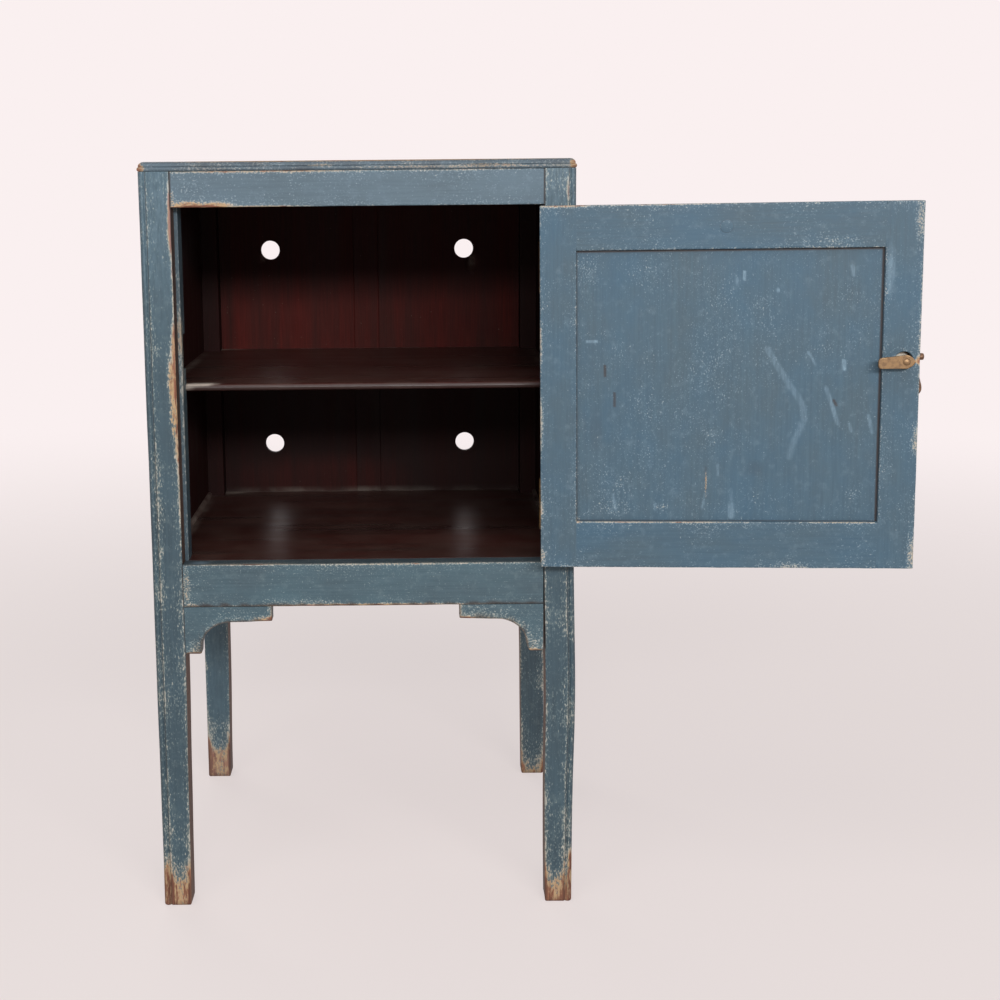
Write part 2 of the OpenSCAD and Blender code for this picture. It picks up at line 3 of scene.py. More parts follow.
import bpy
import mathutils
import numpy as np
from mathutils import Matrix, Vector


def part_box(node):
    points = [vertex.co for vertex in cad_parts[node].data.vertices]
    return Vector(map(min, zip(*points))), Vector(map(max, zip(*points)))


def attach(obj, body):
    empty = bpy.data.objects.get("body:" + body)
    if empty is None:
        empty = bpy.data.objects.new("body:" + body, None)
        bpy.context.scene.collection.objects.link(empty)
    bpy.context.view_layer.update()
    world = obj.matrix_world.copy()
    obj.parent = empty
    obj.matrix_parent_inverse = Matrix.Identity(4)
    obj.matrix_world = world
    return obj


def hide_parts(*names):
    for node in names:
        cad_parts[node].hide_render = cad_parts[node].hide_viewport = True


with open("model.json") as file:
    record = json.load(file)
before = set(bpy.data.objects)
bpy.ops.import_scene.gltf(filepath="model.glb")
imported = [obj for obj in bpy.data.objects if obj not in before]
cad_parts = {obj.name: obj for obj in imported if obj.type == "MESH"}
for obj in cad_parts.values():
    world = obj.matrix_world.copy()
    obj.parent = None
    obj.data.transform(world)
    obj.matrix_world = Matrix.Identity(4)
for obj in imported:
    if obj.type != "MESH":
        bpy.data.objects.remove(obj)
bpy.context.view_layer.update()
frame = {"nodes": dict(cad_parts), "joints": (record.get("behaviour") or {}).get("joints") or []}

# ---- Legs ----
# Four square legs of pine, planed by hand and narrowed a little towards the foot. A bead is worked on
# the outer corner of the front two. The outside was brushed with cream and then with blue paint, which
# has worn through along the arrises and is gone at the feet. The inner sides were never painted.

METRES = 0.001                  # sizes here are in millimetres
UPRIGHT = [2, 0, 1]             # the axes along, across and through the wood of an upright piece
COLOURS = {"out": 2, "data_type": "RGBA"}            # makes a Mix node mix colours
leg_turn_r, foot_turn_r = 1.3, 2.4                   # rounding that wear has given an arris and a foot
bead_d, quirk_w = 6, 1.5
notch = bead_d + quirk_w
leg_taper, taper_height, taper_from = 3, 265, 9      # the last is how far from the outer corner it starts
rebate_w, rebate_deep, rebate_from = 10, 8, 324.5    # the rear legs' recess for the back boards
leg_step, leg_uneven = 4, 0.25  # the spacing of points, and how far out of true the planing is
bow_out, bow_at, bow_reach = 2.6, 234, 95            # the right front leg bows out
sharp_over = np.radians(50)     # edges that turn by more than this aren't shaded smooth
rail_back = -177.5              # forward of the front rails' back, a leg's side is seen beside the door
no_arris = 50                   # stands for a point that is nowhere near an outer corner


def srgb(colour):
    """An sRGB hex value as the linear RGBA that a shader takes."""
    value = np.array([int(colour[i:i + 2], 16) for i in (1, 3, 5)]) / 255
    linear = np.where(value <= 0.04045, value / 12.92, ((value + 0.055) / 1.055) ** 2.4)
    return (*linear, 1.0)


def put(tree, kind, inputs=(), out=0, **settings):
    """Adds a node to a tree: its settings by name, and for each input, by name or in order, a value or
    the socket that feeds it. Returns the socket of its result."""
    node = tree.nodes.new("ShaderNode" + kind)
    for name, value in settings.items():
        setattr(node, name, value)
    feed(node, inputs)
    return node.outputs[out]


def feed(node, inputs):
    """Gives inputs of a node, by name or in order, a value each or the socket that feeds it."""
    for name, value in inputs.items() if isinstance(inputs, dict) else enumerate(inputs):
        if isinstance(value, bpy.types.NodeSocket):
            node.id_data.links.new(value, node.inputs[name])
        else:
            node.inputs[name].default_value = value


def drawn(tree, place, *patterns):
    """Uneven fields at real sizes. Each pattern is the size of its grains in millimetres, one for all
    ways or three along, across and through the wood, then its detail, roughness and distortion."""
    fields = []
    for size, *kind in patterns:
        scale = [1 / (s * METRES) for s in np.broadcast_to(size, 3)]
        at = put(tree, "Mapping", {"Vector": place, "Scale": scale})
        named = dict(zip(("Detail", "Roughness", "Distortion"), kind))
        fields.append(put(tree, "TexNoise", {"Vector": at, "Scale": 1, **named}))
    return fields


def new_material(name):
    """A new material. Returns it, its node tree and its surface node."""
    material = bpy.data.materials.new(name)
    material.use_nodes = True
    return material, material.node_tree, material.node_tree.nodes["Principled BSDF"]


def extent(node):
    """The lowest and highest corners of a CAD node, in millimetres."""
    low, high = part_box(node)
    return np.array(low) / METRES, np.array(high) / METRES


def ramp(value, none, full):
    """0 where a value is at none or beyond it, 1 where it is at full or beyond that, even between."""
    return np.clip((value - none) / (full - none), 0, 1)


def waves(points, size, seed):
    """A smooth uneven field from about -1 to 1: the mean of eight sine waves whose length is about size."""
    rng = np.random.default_rng(seed)
    turns = rng.normal(0, 2 * np.pi / size, (8, 3))
    starts = rng.uniform(0, 2 * np.pi, 8)
    return np.sin(points @ turns.T + starts).mean(1) * 2


def dabs(points, spots):
    """How far each point lies in any of some soft ellipsoids (middle, half sizes, strength): all of the
    strength in the inner 60 percent, and none past 1.4 times the half sizes."""
    depth = np.zeros(len(points))
    for middle, half, strength in spots:
        away = np.sqrt((((points - np.array(middle)) / np.array(half)) ** 2).sum(1))
        depth = np.maximum(depth, strength * ramp(away, 1.4, 0.6))
    return depth


def piece(node, how, points, faces, materials, grain, seed, arris=no_arris, rub=0, scuff=0, soil=0,
          part=None, body="carcase", slot="paint"):
    """The mesh piece node_how, which stands in for a CAD node. points are in millimetres, and faces is a
    list of arrays of 3- or 4-sided faces. grain names the axes along, across and through the wood, from
    which the pattern's coordinates come, arris is each point's distance to the nearest outer corner, and
    part picks a material for each face."""
    volume = sum(np.einsum("ij,ij->", points[f[:, 0]], np.cross(points[f[:, k]], points[f[:, k + 1]]))
                 for f in faces for k in range(1, f.shape[1] - 1))
    corners = [face for f in faces for face in (f if volume > 0 else f[:, ::-1]).tolist()]
    mesh = bpy.data.meshes.new(f"{node}_{how}")
    mesh.from_pydata(points * METRES, [], corners, shade_flat=False)
    mesh.set_sharp_from_angle(angle=sharp_over)
    for material in materials:
        mesh.materials.append(material)
    if part is not None:
        middles, normals = np.zeros((2, len(corners) * 3))
        mesh.polygons.foreach_get("center", middles)
        mesh.polygons.foreach_get("normal", normals)
        chosen = part(middles.reshape(-1, 3) / METRES, normals.reshape(-1, 3))
        mesh.polygons.foreach_set("material_index", chosen.astype(np.int32))
    start = np.random.default_rng(seed).uniform(0, 2000, 3)
    # the marks are rub, scuff and dirt: the scuff also carries painted highlights and painted light, and the
    # dirt also carries painted shade
    marks = np.stack([np.broadcast_to(v, len(points)) for v in (rub, scuff, soil)], 1)
    for title, kind, field, values in (
            ("grain", "FLOAT_VECTOR", "vector", (points[:, grain] + start) * METRES),
            ("arris", "FLOAT", "value", np.broadcast_to(arris, len(points)) * METRES),
            ("marks", "FLOAT_VECTOR", "vector", marks)):
        layer = mesh.attributes.new(title, kind, "POINT")
        layer.data.foreach_set(field, values.astype(np.float32).ravel())
    made = bpy.data.objects.new(mesh.name, mesh)
    bpy.context.scene.collection.objects.link(made)
    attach(made, body)
    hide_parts(node)
    return made


def spread(low, high, step, near=(0, 0.35, 0.8, 1.4, 2.2, 3.4, 5.2, 8)):
    """Values from low to high: close together near both ends, where an arris is turned, then about
    step apart."""
    near = np.array([n for n in near if n < (high - low) * 0.42])
    cells = max(1, round((high - low - 2 * near[-1]) / step))
    middle = np.linspace(near[-1], high - low - near[-1], cells + 1)
    return low + np.concatenate([near[:-1], middle, (high - low - near[:-1])[::-1]])


def outline(corners, radii, step):
    """A closed outline through corners, each turned with an arc of its radius that meets both of its
    runs. Returns its points, and each point's distance along it to the nearest turned corner."""
    corners = np.array(corners, float)
    dots, turned = [], []
    for here, before, after, radius in zip(corners, np.roll(corners, 1, 0), np.roll(corners, -1, 0), radii):
        if radius == 0:
            dots.append(here[None])
            turned.append([False])
            continue
        a = (before - here) / np.linalg.norm(before - here)
        b = (after - here) / np.linalg.norm(after - here)
        half = np.arccos(np.clip(a @ b, -1, 1)) / 2
        centre = here + (a + b) / np.linalg.norm(a + b) * radius / np.sin(half)
        start, end = [here + way * radius / np.tan(half) - centre for way in (a, b)]
        sweep = np.pi - 2 * half
        t = np.linspace(0, 1, 6)[:, None]
        dots.append(centre + (np.sin((1 - t) * sweep) * start + np.sin(t * sweep) * end) / np.sin(sweep))
        turned.append([True] * len(t))
    ends = np.concatenate(dots)
    full, flags = [], []
    for start, end, flag in zip(ends, np.roll(ends, -1, 0), np.concatenate(turned)):
        long = np.linalg.norm(end - start)
        run = spread(0, long, step, (0, 0.5, 1.3, 2.6, 4.5)) / long if long > 2 else np.array([0, 1])
        full.append(start + run[:-1, None] * (end - start))
        flags.append([flag] + [False] * (len(run) - 2))
    full, flags = np.concatenate(full), np.concatenate(flags)
    steps = np.linalg.norm(np.roll(full, -1, 0) - full, axis=1)
    place = np.cumsum(steps) - steps
    gap = np.abs(place[:, None] - place[flags][None])
    return full, np.minimum(gap, steps.sum() - gap).min(1)


def banded(count, around):
    """The four-sided faces between rings of points, each ring closed on itself."""
    number = np.arange(count * around).reshape(count, around)
    beside = np.roll(number, -1, 1)
    return np.stack([number[:-1], beside[:-1], beside[1:], number[1:]], -1).reshape(-1, 4)


def carried(rings):
    """Joins rings of points, of shape (rings, points, 3), into a tube, closed at both ends on a pole."""
    count, around = rings.shape[:2]
    first, last = np.arange(around), np.arange(around) + (count - 1) * around
    caps = [np.stack([np.roll(first, -1), first, np.full(around, count * around)], -1),
            np.stack([last, np.roll(last, -1), np.full(around, count * around + 1)], -1)]
    poles = np.stack([rings[0].mean(0), rings[-1].mean(0)])
    return np.concatenate([rings.reshape(-1, 3), poles]), [banded(count, around), np.concatenate(caps)]


def pine_colour(tree, grain, early, late):
    """Nodes for planed pine: pale early wood crossed by darker rings every 5 mm or so, drawn out along
    the grain, and short dark lines of resin. Returns the colour socket."""
    rings, lines = drawn(tree, grain, ((160, 5, 12), 3, 0.5, 0.6), ((30, 0.8, 0.8), 2))
    banding = put(tree, "MapRange", [rings, 0.38, 0.62])
    lined = put(tree, "MapRange", [lines, 0.35, 0.7, 0.75, 1.1])
    colour = put(tree, "Mix", {0: banding, 6: srgb(early), 7: srgb(late)}, **COLOURS)
    return put(tree, "VectorMath", {0: colour, 3: lined}, operation="SCALE")


def worn_paint(name, blue, deep, pale, wear, streak=1.8, edge=0.06, chalk="#8FA6B4", clump=0.06):
    """Oil paint brushed over an older cream coat on pine, half matt with age. Brush marks run along the
    wood, and the blue is mottled and chalked. Near an arris, in a placed rub and in patches it is worn:
    first to pale dots, then to flecks of the cream, then to the wood. wear adds to that everywhere, edge
    adds near an arris, and clump is how much it comes and goes from patch to patch."""
    material, tree, surface = new_material(name)
    grain = put(tree, "Attribute", out="Vector", attribute_name="grain")
    arris = put(tree, "Attribute", out="Fac", attribute_name="arris")
    marks = put(tree, "Attribute", out="Vector", attribute_name="marks")
    rub, scuff, soil = put(tree, "SeparateXYZ", [marks]).node.outputs
    # brush marks, mottling with finer within, worn patches, soft smudges where the paint has chalked,
    # flecks of the cream as long as streak, and chips down to the wood
    brush, mottle, patch, smudge, fleck, chip = drawn(
        tree, grain, ((50, 2, 2), 3, 0.6), ((100, 60, 60), 6, 0.62), (60, 4, 0.65), (10, 5, 0.65),
        ((streak, 1.5, 1.5), 3, 0.6), ((14, 3, 3), 5, 0.68))

    # how far the paint is worn: at the arris, near it, in patches, and by hand and foot
    worn = put(tree, "MapRange", [arris, 0, 0.002, 0.1, 0])
    near = put(tree, "MapRange", [arris, 0, 0.014, edge, 0], interpolation_type="SMOOTHSTEP")
    patchy = put(tree, "MapRange", [patch, 0.32, 0.7, wear - clump, wear + clump])
    for more in (near, patchy):
        worn = put(tree, "Math", [worn, more], operation="ADD")
    for_cream, for_wood = [put(tree, "Math", [rub, share, worn], operation="MULTIPLY_ADD")
                           for share in (0.38, 0.43)]
    flecked = put(tree, "Math", [for_cream, fleck], operation="ADD")
    chipped = put(tree, "Math", [for_wood, chip], operation="ADD")

    # pale dots of chalked paint lie thick where it is worn, with a grey thinning before the cream shows,
    # and where it is worn most the cream has gone yellow with handling; scuffs are broken up like the chips.
    # The scuffs' pale blue is also painted light on some legs and a painted highlight on the lower rail's
    # top, and the dark dirt colour is also painted shade.
    tone, haze, chalked, dots, thin, cream_part, wood_part, cream_tone, aged, broken, dirt_and_shade_share, rough = [
        put(tree, "MapRange", levels) for levels in (
            (mottle, 0.36, 0.64), (brush, 0.36, 0.72, 0, 0.42), (smudge, 0.54, 0.8, 0, 0.22),
            (flecked, 0.58, 0.68, 0, 0.45), (for_cream, 0.08, 0.4, 0, 0.5), (flecked, 0.68, 0.78, 0, 0.88),
            (chipped, 0.84, 0.96), (chip, 0.35, 0.65), (rub, 0.3, 0.7, 0, 0.85), (chip, 0.4, 0.6, 0.35, 1),
            (soil, 0, 1, 0, 0.95), (brush, 0.3, 0.7, 0.5, 0.64))]
    scuffed = put(tree, "Math", [scuff, broken], operation="MULTIPLY")
    cream = put(tree, "Mix", {0: cream_tone, 6: srgb("#A8A79D"), 7: srgb("#D8D1C4")}, **COLOURS)
    cream = put(tree, "Mix", {0: aged, 6: cream, 7: srgb("#CBA271")}, **COLOURS)
    wood = pine_colour(tree, grain, "#AB765A", "#774532")
    colour = srgb(deep)
    for share, over in ((tone, srgb(blue)), (haze, srgb(pale)), (chalked, srgb(chalk)), (dots, srgb(chalk)),
                        (thin, srgb("#7B7869")), (cream_part, cream), (wood_part, wood),
                        (scuffed, srgb("#93AFC2")), (dirt_and_shade_share, srgb("#2E211C"))):
        colour = put(tree, "Mix", {0: share, 6: colour, 7: over}, **COLOURS)

    rough = put(tree, "Mix", {0: cream_part, 2: rough, 3: 0.75})
    # the film's edge and the brush marks stand a tenth of a millimetre, drawn a little higher to show
    film = put(tree, "Math", [cream_part, wood_part], operation="ADD")
    film = put(tree, "Math", [film, -0.6, brush], operation="MULTIPLY_ADD")
    bump = put(tree, "Bump", {"Height": film, "Strength": 0.5, "Distance": 0.0002})
    feed(surface, {"Base Color": colour, "Roughness": rough, "Normal": bump})
    return material


def stained_wood(name, red, dark, gloss, shine, film):
    """Pine stained a dark red-brown under old shellac: half gloss, the stain lying a little darker in the
    soft grain, with a pale film that is partly dust and partly a painted sheen, dull patches, specks and
    smears of pale dirt whose brightest smear, on the shelf's nose, is a painted highlight, and a darkening
    that is partly dirt and partly painted shade."""
    material, tree, surface = new_material(name)
    grain = put(tree, "Attribute", out="Vector", attribute_name="grain")
    marks = put(tree, "Attribute", out="Vector", attribute_name="marks")
    scuff, soil = put(tree, "SeparateXYZ", [marks]).node.outputs[1:]
    figure, pores, cloud, dust = drawn(tree, grain, ((300, 22, 22), 3, 0.5, 0.4), ((40, 1.4, 1.4), 2),
                                       (40, 5, 0.6), (2.2, 1, 0.6))
    deep, line, haze, speck, uneven, darkened, rough = [put(tree, "MapRange", levels) for levels in (
        (figure, 0.25, 0.75), (pores, 0.35, 0.65, 0.78, 1.08), (cloud, 0.35, 0.7, film * 0.3, film * 1.6),
        (dust, 0.77, 0.82, 0, 0.4), (cloud, 0.38, 0.62, 0.15, 1), (soil, 0, 1, 0, 0.95),
        (figure, 0.3, 0.7, gloss, gloss + 0.1))]
    dusty = put(tree, "Math", [scuff, uneven], operation="MULTIPLY")
    colour = put(tree, "Mix", {0: deep, 6: srgb(dark), 7: srgb(red)}, **COLOURS)
    colour = put(tree, "VectorMath", {0: colour, 3: line}, operation="SCALE")
    # the pale film is partly a painted sheen, the pale smears include a painted highlight on the shelf's
    # nose, and the dark colour is partly painted shade
    for share, over in ((haze, "#A09488"), (speck, "#A79A8E"), (dusty, "#CFC1B4"), (darkened, "#150C0B")):
        colour = put(tree, "Mix", {0: share, 6: colour, 7: srgb(over)}, **COLOURS)
    bump = put(tree, "Bump", {"Height": pores, "Strength": 0.3, "Distance": 0.0002})
    feed(surface, {"Base Color": colour, "Roughness": rough, "Normal": bump, "Specular IOR Level": shine})
    return material


leg_paint = worn_paint("brushed_oil_paint_legs", "#38525F", "#2F4550", "#4F6671", -0.04, 3.4, 0.085,
                       "#8C9E9E", 0.105)
dry_stain = stained_wood("dry_red_stain_on_pine", "#571914", "#34120E", 0.55, 0.12, 0.008)


def leg_section(beaded, side):
    """The outline of a leg's section from its outer corner at (0, 0): a square, on the front legs with a
    three-quarter round bead between two quirks on that corner."""
    if not beaded:
        return outline([(0, 0), (side, 0), (side, side), (0, side)], [leg_turn_r] * 4, leg_step)
    turn = np.radians(np.arange(120, 331, 15))
    bead = [(bead_d / 2 * (1 + np.cos(a)), bead_d / 2 * (1 + np.sin(a))) for a in turn]
    corners = [(notch, 0), (side, 0), (side, side), (0, side), (0, notch), (bead[0][0], notch), *bead,
               (notch, bead[0][0])]
    radii = [0.6, leg_turn_r, leg_turn_r, leg_turn_r, 0.6, 0, *[0] * len(bead), 0]
    section, from_corner = outline(corners, radii, leg_step)
    return section, np.where(section.max(1) < notch + 0.1, 1.6, from_corner)


# for each leg, the heights where the paint begins to go and where the wood is bare
feet = {"leg_front_left": (92, 12), "leg_front_right": (92, 4), "leg_rear_left": (72, 26),
        "leg_rear_right": (60, -12)}
leg_rubs = {
    "leg_front_left": [
        ((-184.5, -200, 714), (3.2, 8, 32), 0.8), ((-184.2, -200, 650), (0.8, 6, 60), 0.4),
        ((-185, -200, 592), (3, 8, 26), 0.7), ((-187, -200, 556), (5.5, 8, 26), 0.8),
        ((-186.5, -200, 520), (5, 8, 26), 0.75), ((-185, -200, 490), (3, 8, 16), 0.6),
        ((-184.4, -200, 450), (1.4, 6, 50), 0.4), ((-206, -200, 440), (5, 6, 120), 0.2),
        ((-190, -200, 300), (5, 6, 150), 0.15), ((-211, -200, 30), (4, 8, 22), 0.8)],
    "leg_front_right": [
        ((207, -200, 742), (1.6, 6, 12), 0.48), ((205, -200, 300), (4, 6, 180), 0.12),
        ((213, -200, 34), (3, 8, 26), 0.9), ((184, -200, 180), (3, 8, 90), 0.15)],
    "leg_rear_left": [((-200, 169, 60), (30, 8, 20), 0.25)],
    "leg_rear_right": [((184, 169, 150), (1.5, 6, 50), 0.5)]}
# where the front rails and brackets meet a leg: above the opening, and between these two heights
joint_above, joint_from, joint_to = (extent("rail_front_top")[0][2], extent("bracket_left")[0][2],
                                     extent("rail_front_lower")[1][2])

for number, name in enumerate(feet):
    low, high = extent(name)
    left, front = low[0] < 0, low[1] < 0
    side = high[0] - low[0]
    section, from_corner = leg_section(front, side)
    heights = np.concatenate([foot_turn_r * (1 - np.cos(np.radians([0, 30, 60, 90]))),
                              np.arange(foot_turn_r + leg_step, high[2] - 3, leg_step), [high[2]]])
    if not front:
        heights = np.sort(np.append(heights, [rebate_from - 0.01, rebate_from + 0.01]))
    shrink = foot_turn_r * (1 - np.sin(np.arccos(ramp(heights, foot_turn_r, 0))))
    scale = np.concatenate([[0.25, 0.6], 1 - shrink / (side / 2), [0.6, 0.25]])
    heights = np.concatenate([[0, 0], heights, [high[2]] * 2])
    uv = side / 2 + (section[None] - side / 2) * scale[:, None, None]
    uv = uv - leg_taper * ramp(heights, taper_height, 0)[:, None, None] * ramp(uv, taper_from, side)
    u, v = uv[..., 0], uv[..., 1]
    z = np.broadcast_to(heights[:, None], u.shape)
    if not front:
        v = np.where((z > rebate_from) & (u > side - rebate_w), np.maximum(v, rebate_deep), v)
    points, faces = carried(np.stack([low[0] + u if left else high[0] - u,
                                      low[1] + v if front else high[1] - v, z], -1))
    distance = np.append(np.broadcast_to(from_corner, u.shape).ravel(), [9, 9])
    distance = np.minimum(distance, points[:, 2] + 2)
    points[:, 0] += leg_uneven * waves(points * (1, 1, 0.3), 60, 10 + number)
    points[:, 1] += leg_uneven * waves(points * (1, 1, 0.3), 60, 20 + number)
    points[:, 1] = np.clip(points[:, 1], low[1], high[1])
    if name == "leg_front_right":
        points[:, 0] += bow_out * np.exp(-((points[:, 2] - bow_at) / bow_reach) ** 2)
    else:
        points[:, 0] = np.clip(points[:, 0], low[0], high[0])

    def around(chosen):
        """The same choice of a section's points on every ring, and not on the poles."""
        return np.append(np.broadcast_to(chosen, u.shape).ravel(), [False] * 2)

    z = points[:, 2]
    cream_to, bare_to = feet[name]
    sooner = 13 * ramp(distance, 5, 0) + 7 * waves(points * (1, 1, 0.4), 9, 50 + number)
    foot = 0.98 * ramp(z - sooner, cream_to, bare_to) ** 1.9
    in_quirk = around(front & (np.hypot(*(section - (notch - 0.7, 1.5)).T) < 1.1))
    into_cupboard = around((not front) & (section.max(1) > side - 0.6)) & (z > rebate_from)
    unpainted = around(section[:, 0] > side - 0.6) & (distance > 0.4)
    beside_rail = (z > joint_above) | ((z > joint_from) & (z < joint_to))
    in_joint = around(front & (section[:, 0] > side - 0.75) & (section[:, 1] < 1.4)) & beside_rail
    rub = np.maximum.reduce([foot, 0.06 * front * ramp(z, 380, 260), dabs(points, leg_rubs[name]),
                             1.3 * unpainted])
    # painted shade: the rear right leg darkened all over, and the front legs darkened below about 620 mm
    soil = np.maximum.reduce([(0.84 + 0.1 * (z > rebate_from)) * unpainted, 0.5 * ramp(z, 7, 0),
                              0.1 * front * ramp(z, 620, 470), 0.85 * into_cupboard,
                              0.62 * ramp(distance, 3.4, 0) * ramp(z, bare_to + 34, bare_to + 12),
                              np.full(len(z), 0.17 * (not (front or left))), 0.6 * in_quirk,
                              0.25 * around(front & (section[:, 0] < 2.4)), 0.92 * in_joint])
    # The front legs' paler chalk towards the top and the rear left leg's paler chalk all over are painted
    # light.
    chalk_and_painted_light = np.where(front, 0.24 * ramp(z, 560, 750), 0.1 * left * ~into_cupboard)

    def stained_inside(at, way):
        """Picks the stain for the faces that look into the cupboard."""
        into_x = (way[:, 0] > 0.5) if left else (way[:, 0] < -0.5)
        into_y = (way[:, 1] > 0.5) if front else (way[:, 1] < -0.5)
        beside_door = front & (at[:, 1] < rail_back)
        return (at[:, 2] > rebate_from) & (into_y | (into_x & ~beside_door))

    piece(name, "worn", points, faces, [leg_paint, dry_stain], UPRIGHT, 30 + number, distance, rub, chalk_and_painted_light,
          soil, stained_inside)

# ---- Rails ----
# Two front rails tenoned into the legs, planed flat and set back a millimetre from them, painted on
# their faces. The two rear rails inside were stained with the cupboard, or left as bare pine below.

LEVEL = [0, 2, 1]               # the axes along, across and through a piece that lies from side to side
turn_r = 1.1
plank_uneven = 0.12


def shell(a, b, c, cut=None):
    """The outside of a block of cells, whose corners are the lattice a x b x c: a face wherever a cell of
    wood meets air. cut tells from the cells' middles which are cut away. Returns the lattice's points on
    the outside and its four-sided faces, looking outwards."""
    sizes = (len(a), len(b), len(c))
    number = np.arange(np.prod(sizes)).reshape(sizes)
    wood = np.zeros(np.add(sizes, 1), bool)
    middles = np.stack(np.meshgrid(*[(v[1:] + v[:-1]) / 2 for v in (a, b, c)], indexing="ij"), -1)
    wood[1:-1, 1:-1, 1:-1] = True if cut is None else ~cut(middles)
    quads = []
    for axis in range(3):
        turned_to = (axis, (axis + 1) % 3, (axis + 2) % 3), (0, 1, 2)
        layers, cells = np.moveaxis(number, *turned_to), np.moveaxis(wood, *turned_to)[:, 1:-1, 1:-1]
        quad = np.stack([layers[:, :-1, :-1], layers[:, 1:, :-1], layers[:, 1:, 1:], layers[:, :-1, 1:]], -1)
        quads += [quad[cells[:-1] & ~cells[1:]], quad[~cells[:-1] & cells[1:]][:, ::-1]]
    used, quads = np.unique(np.concatenate(quads), return_inverse=True)
    grid = np.stack(np.meshgrid(a, b, c, indexing="ij"), -1).reshape(-1, 3)
    return grid[used], [quads.reshape(-1, 4)]


def eased(points, low, high, radius):
    """Turns the arrises of a block. Each point is split into the nearest point of the block shrunk by
    radius and the way out from it, and the way out is cut from a square's reach to a circle's. A limit
    of infinity leaves that side's arrises sharp."""
    radius = np.broadcast_to(radius, len(points))[:, None]
    inner = np.clip(points, low + radius, high - radius)
    out = points - inner
    length = np.linalg.norm(out, axis=1, keepdims=True)
    reach = np.abs(out).max(1, keepdims=True) / np.maximum(length, 1e-6)
    return inner + out * np.where(length > 1e-6, reach, 1)


def from_arris(points, low, high):
    """Each surface point's distance to the nearest arris of a block: the second smallest of its
    distances to the block's limits along the three axes."""
    return np.sort(np.minimum(points - low, high - points), axis=1)[:, 1]


def plank(node, how, low, high, step, materials, grain, seed, butts=(), turned=turn_r, **finish):
    """A planed board with worn arrises: a grid block, its arrises turned by a radius that varies along
    them, and its faces a little uneven. butts names the axes whose ends meet another piece."""
    low, high = np.array(low, float), np.array(high, float)
    placed, faces = shell(*[spread(l, h, step) for l, h in zip(low, high)])
    open_low, open_high = low.copy(), high.copy()
    for axis in butts:
        open_low[axis], open_high[axis] = -np.inf, np.inf
    distance = np.minimum(from_arris(placed, open_low, open_high), no_arris)
    points = eased(placed, open_low, open_high, turned * (1 + 0.45 * waves(placed, 45, seed)))
    outwards = np.sign(points - (low + high) / 2)
    sway = np.abs(plank_uneven * waves(points, 90, seed + 500)[:, None] * outwards)
    sway[:, list(butts)] = 0
    points = np.clip(points - sway * outwards, low, high)
    for key in ("rub", "scuff", "soil"):
        finish[key] = finish[key](placed) if key in finish else 0
    return piece(node, how, points, faces, materials, grain, seed, distance, **finish)


def old_pine(name, early, late, seam_dirt=0.0, by_object=False):
    """Pine straight from the plane, never finished, browned by age and dust: dull, with its rings showing
    and dirt along the seams. by_object lays the pattern in the object's own coordinates."""
    material, tree, surface = new_material(name)
    grain = (put(tree, "TexCoord", out="Object") if by_object
             else put(tree, "Attribute", out="Vector", attribute_name="grain"))
    arris = put(tree, "Attribute", out="Fac", attribute_name="arris")
    grime, saw = drawn(tree, grain, (40, 5, 0.65), ((50, 1, 1), 2))
    soiled = put(tree, "MapRange", [grime, 0.42, 0.75, 0, 0.45])
    seam = put(tree, "MapRange", [arris, 0, 0.0016, seam_dirt, 0])
    dirt = put(tree, "Math", [soiled, seam], operation="MAXIMUM")
    wood = pine_colour(tree, grain, early, late)
    colour = put(tree, "Mix", {0: dirt, 6: wood, 7: srgb("#3C2B20")}, **COLOURS)
    bump = put(tree, "Bump", {"Height": saw, "Strength": 0.5, "Distance": 0.0002})
    feed(surface, {"Base Color": colour, "Roughness": 0.8, "Normal": bump})
    return material


# The lower rail's and brackets' paint is mixed darker than the top rail's: painted shade, for light falling
# off towards the floor.
rail_paint = worn_paint("brushed_oil_paint_rails", "#566B79", "#4B5E6A", "#6B7E89", -0.03)
low_rail_paint = worn_paint("brushed_oil_paint_low_rail", "#425D68", "#3A4E58", "#5B717B", -0.03,
                            chalk="#93A6A9")
stain = stained_wood("shellac_over_red_stain_on_pine", "#4A1F1A", "#2E1614", 0.26, 0.36, 0.07)
pine = old_pine("old_unfinished_pine", "#A9845C", "#7A5535")

leg_in, leg_in_y = -extent("leg_front_left")[1][:2]
rail_low, rail_high = extent("rail_front_top")
rail_bottom, floor_z = extent("rail_front_lower")[0][2], extent("rail_front_lower")[1][2]

top_rail_rubs = [
    ((-166, -199, 730), (20, 8, 5.5), 0.85), ((-140, -199, 731), (18, 8, 3.5), 0.75),
    ((-182, -199, 738), (3, 8, 9), 0.6), ((-100, -199, 729.5), (50, 6, 1.4), 0.5),
    ((-90, -199, 764), (95, 5, 2.2), 0.5), ((60, -199, 764), (120, 5, 1.6), 0.25),
    ((-165, -199, 745), (22, 8, 14), 0.13)]
low_rail_rubs = [
    ((-181, -199, 346), (5, 8, 20), 0.55), ((-176, -199, 350), (16, 8, 22), 0.16),
    ((-176, -199, 326), (8, 8, 3), 0.5), ((0, -199, 324.5), (120, 8, 2.6), 0.75),
    ((-60, -199, 327), (40, 8, 5), 0.25), ((60, -199, 368), (110, 8, 1.2), 0.4),
    ((-120, -199, 369), (60, 8, 1.2), 0.4)]


def low_rail_soil(at):
    """Dirt on the lower rail: a film on its top, and an uneven dark line along its lower edge."""
    line = np.clip(1.35 - (at[:, 2] - rail_bottom) / 2.6 + 0.7 * waves(at, 22, 48), 0, 1)
    return np.where(at[:, 2] > floor_z - 0.4, 0.45, 0.85 * line)


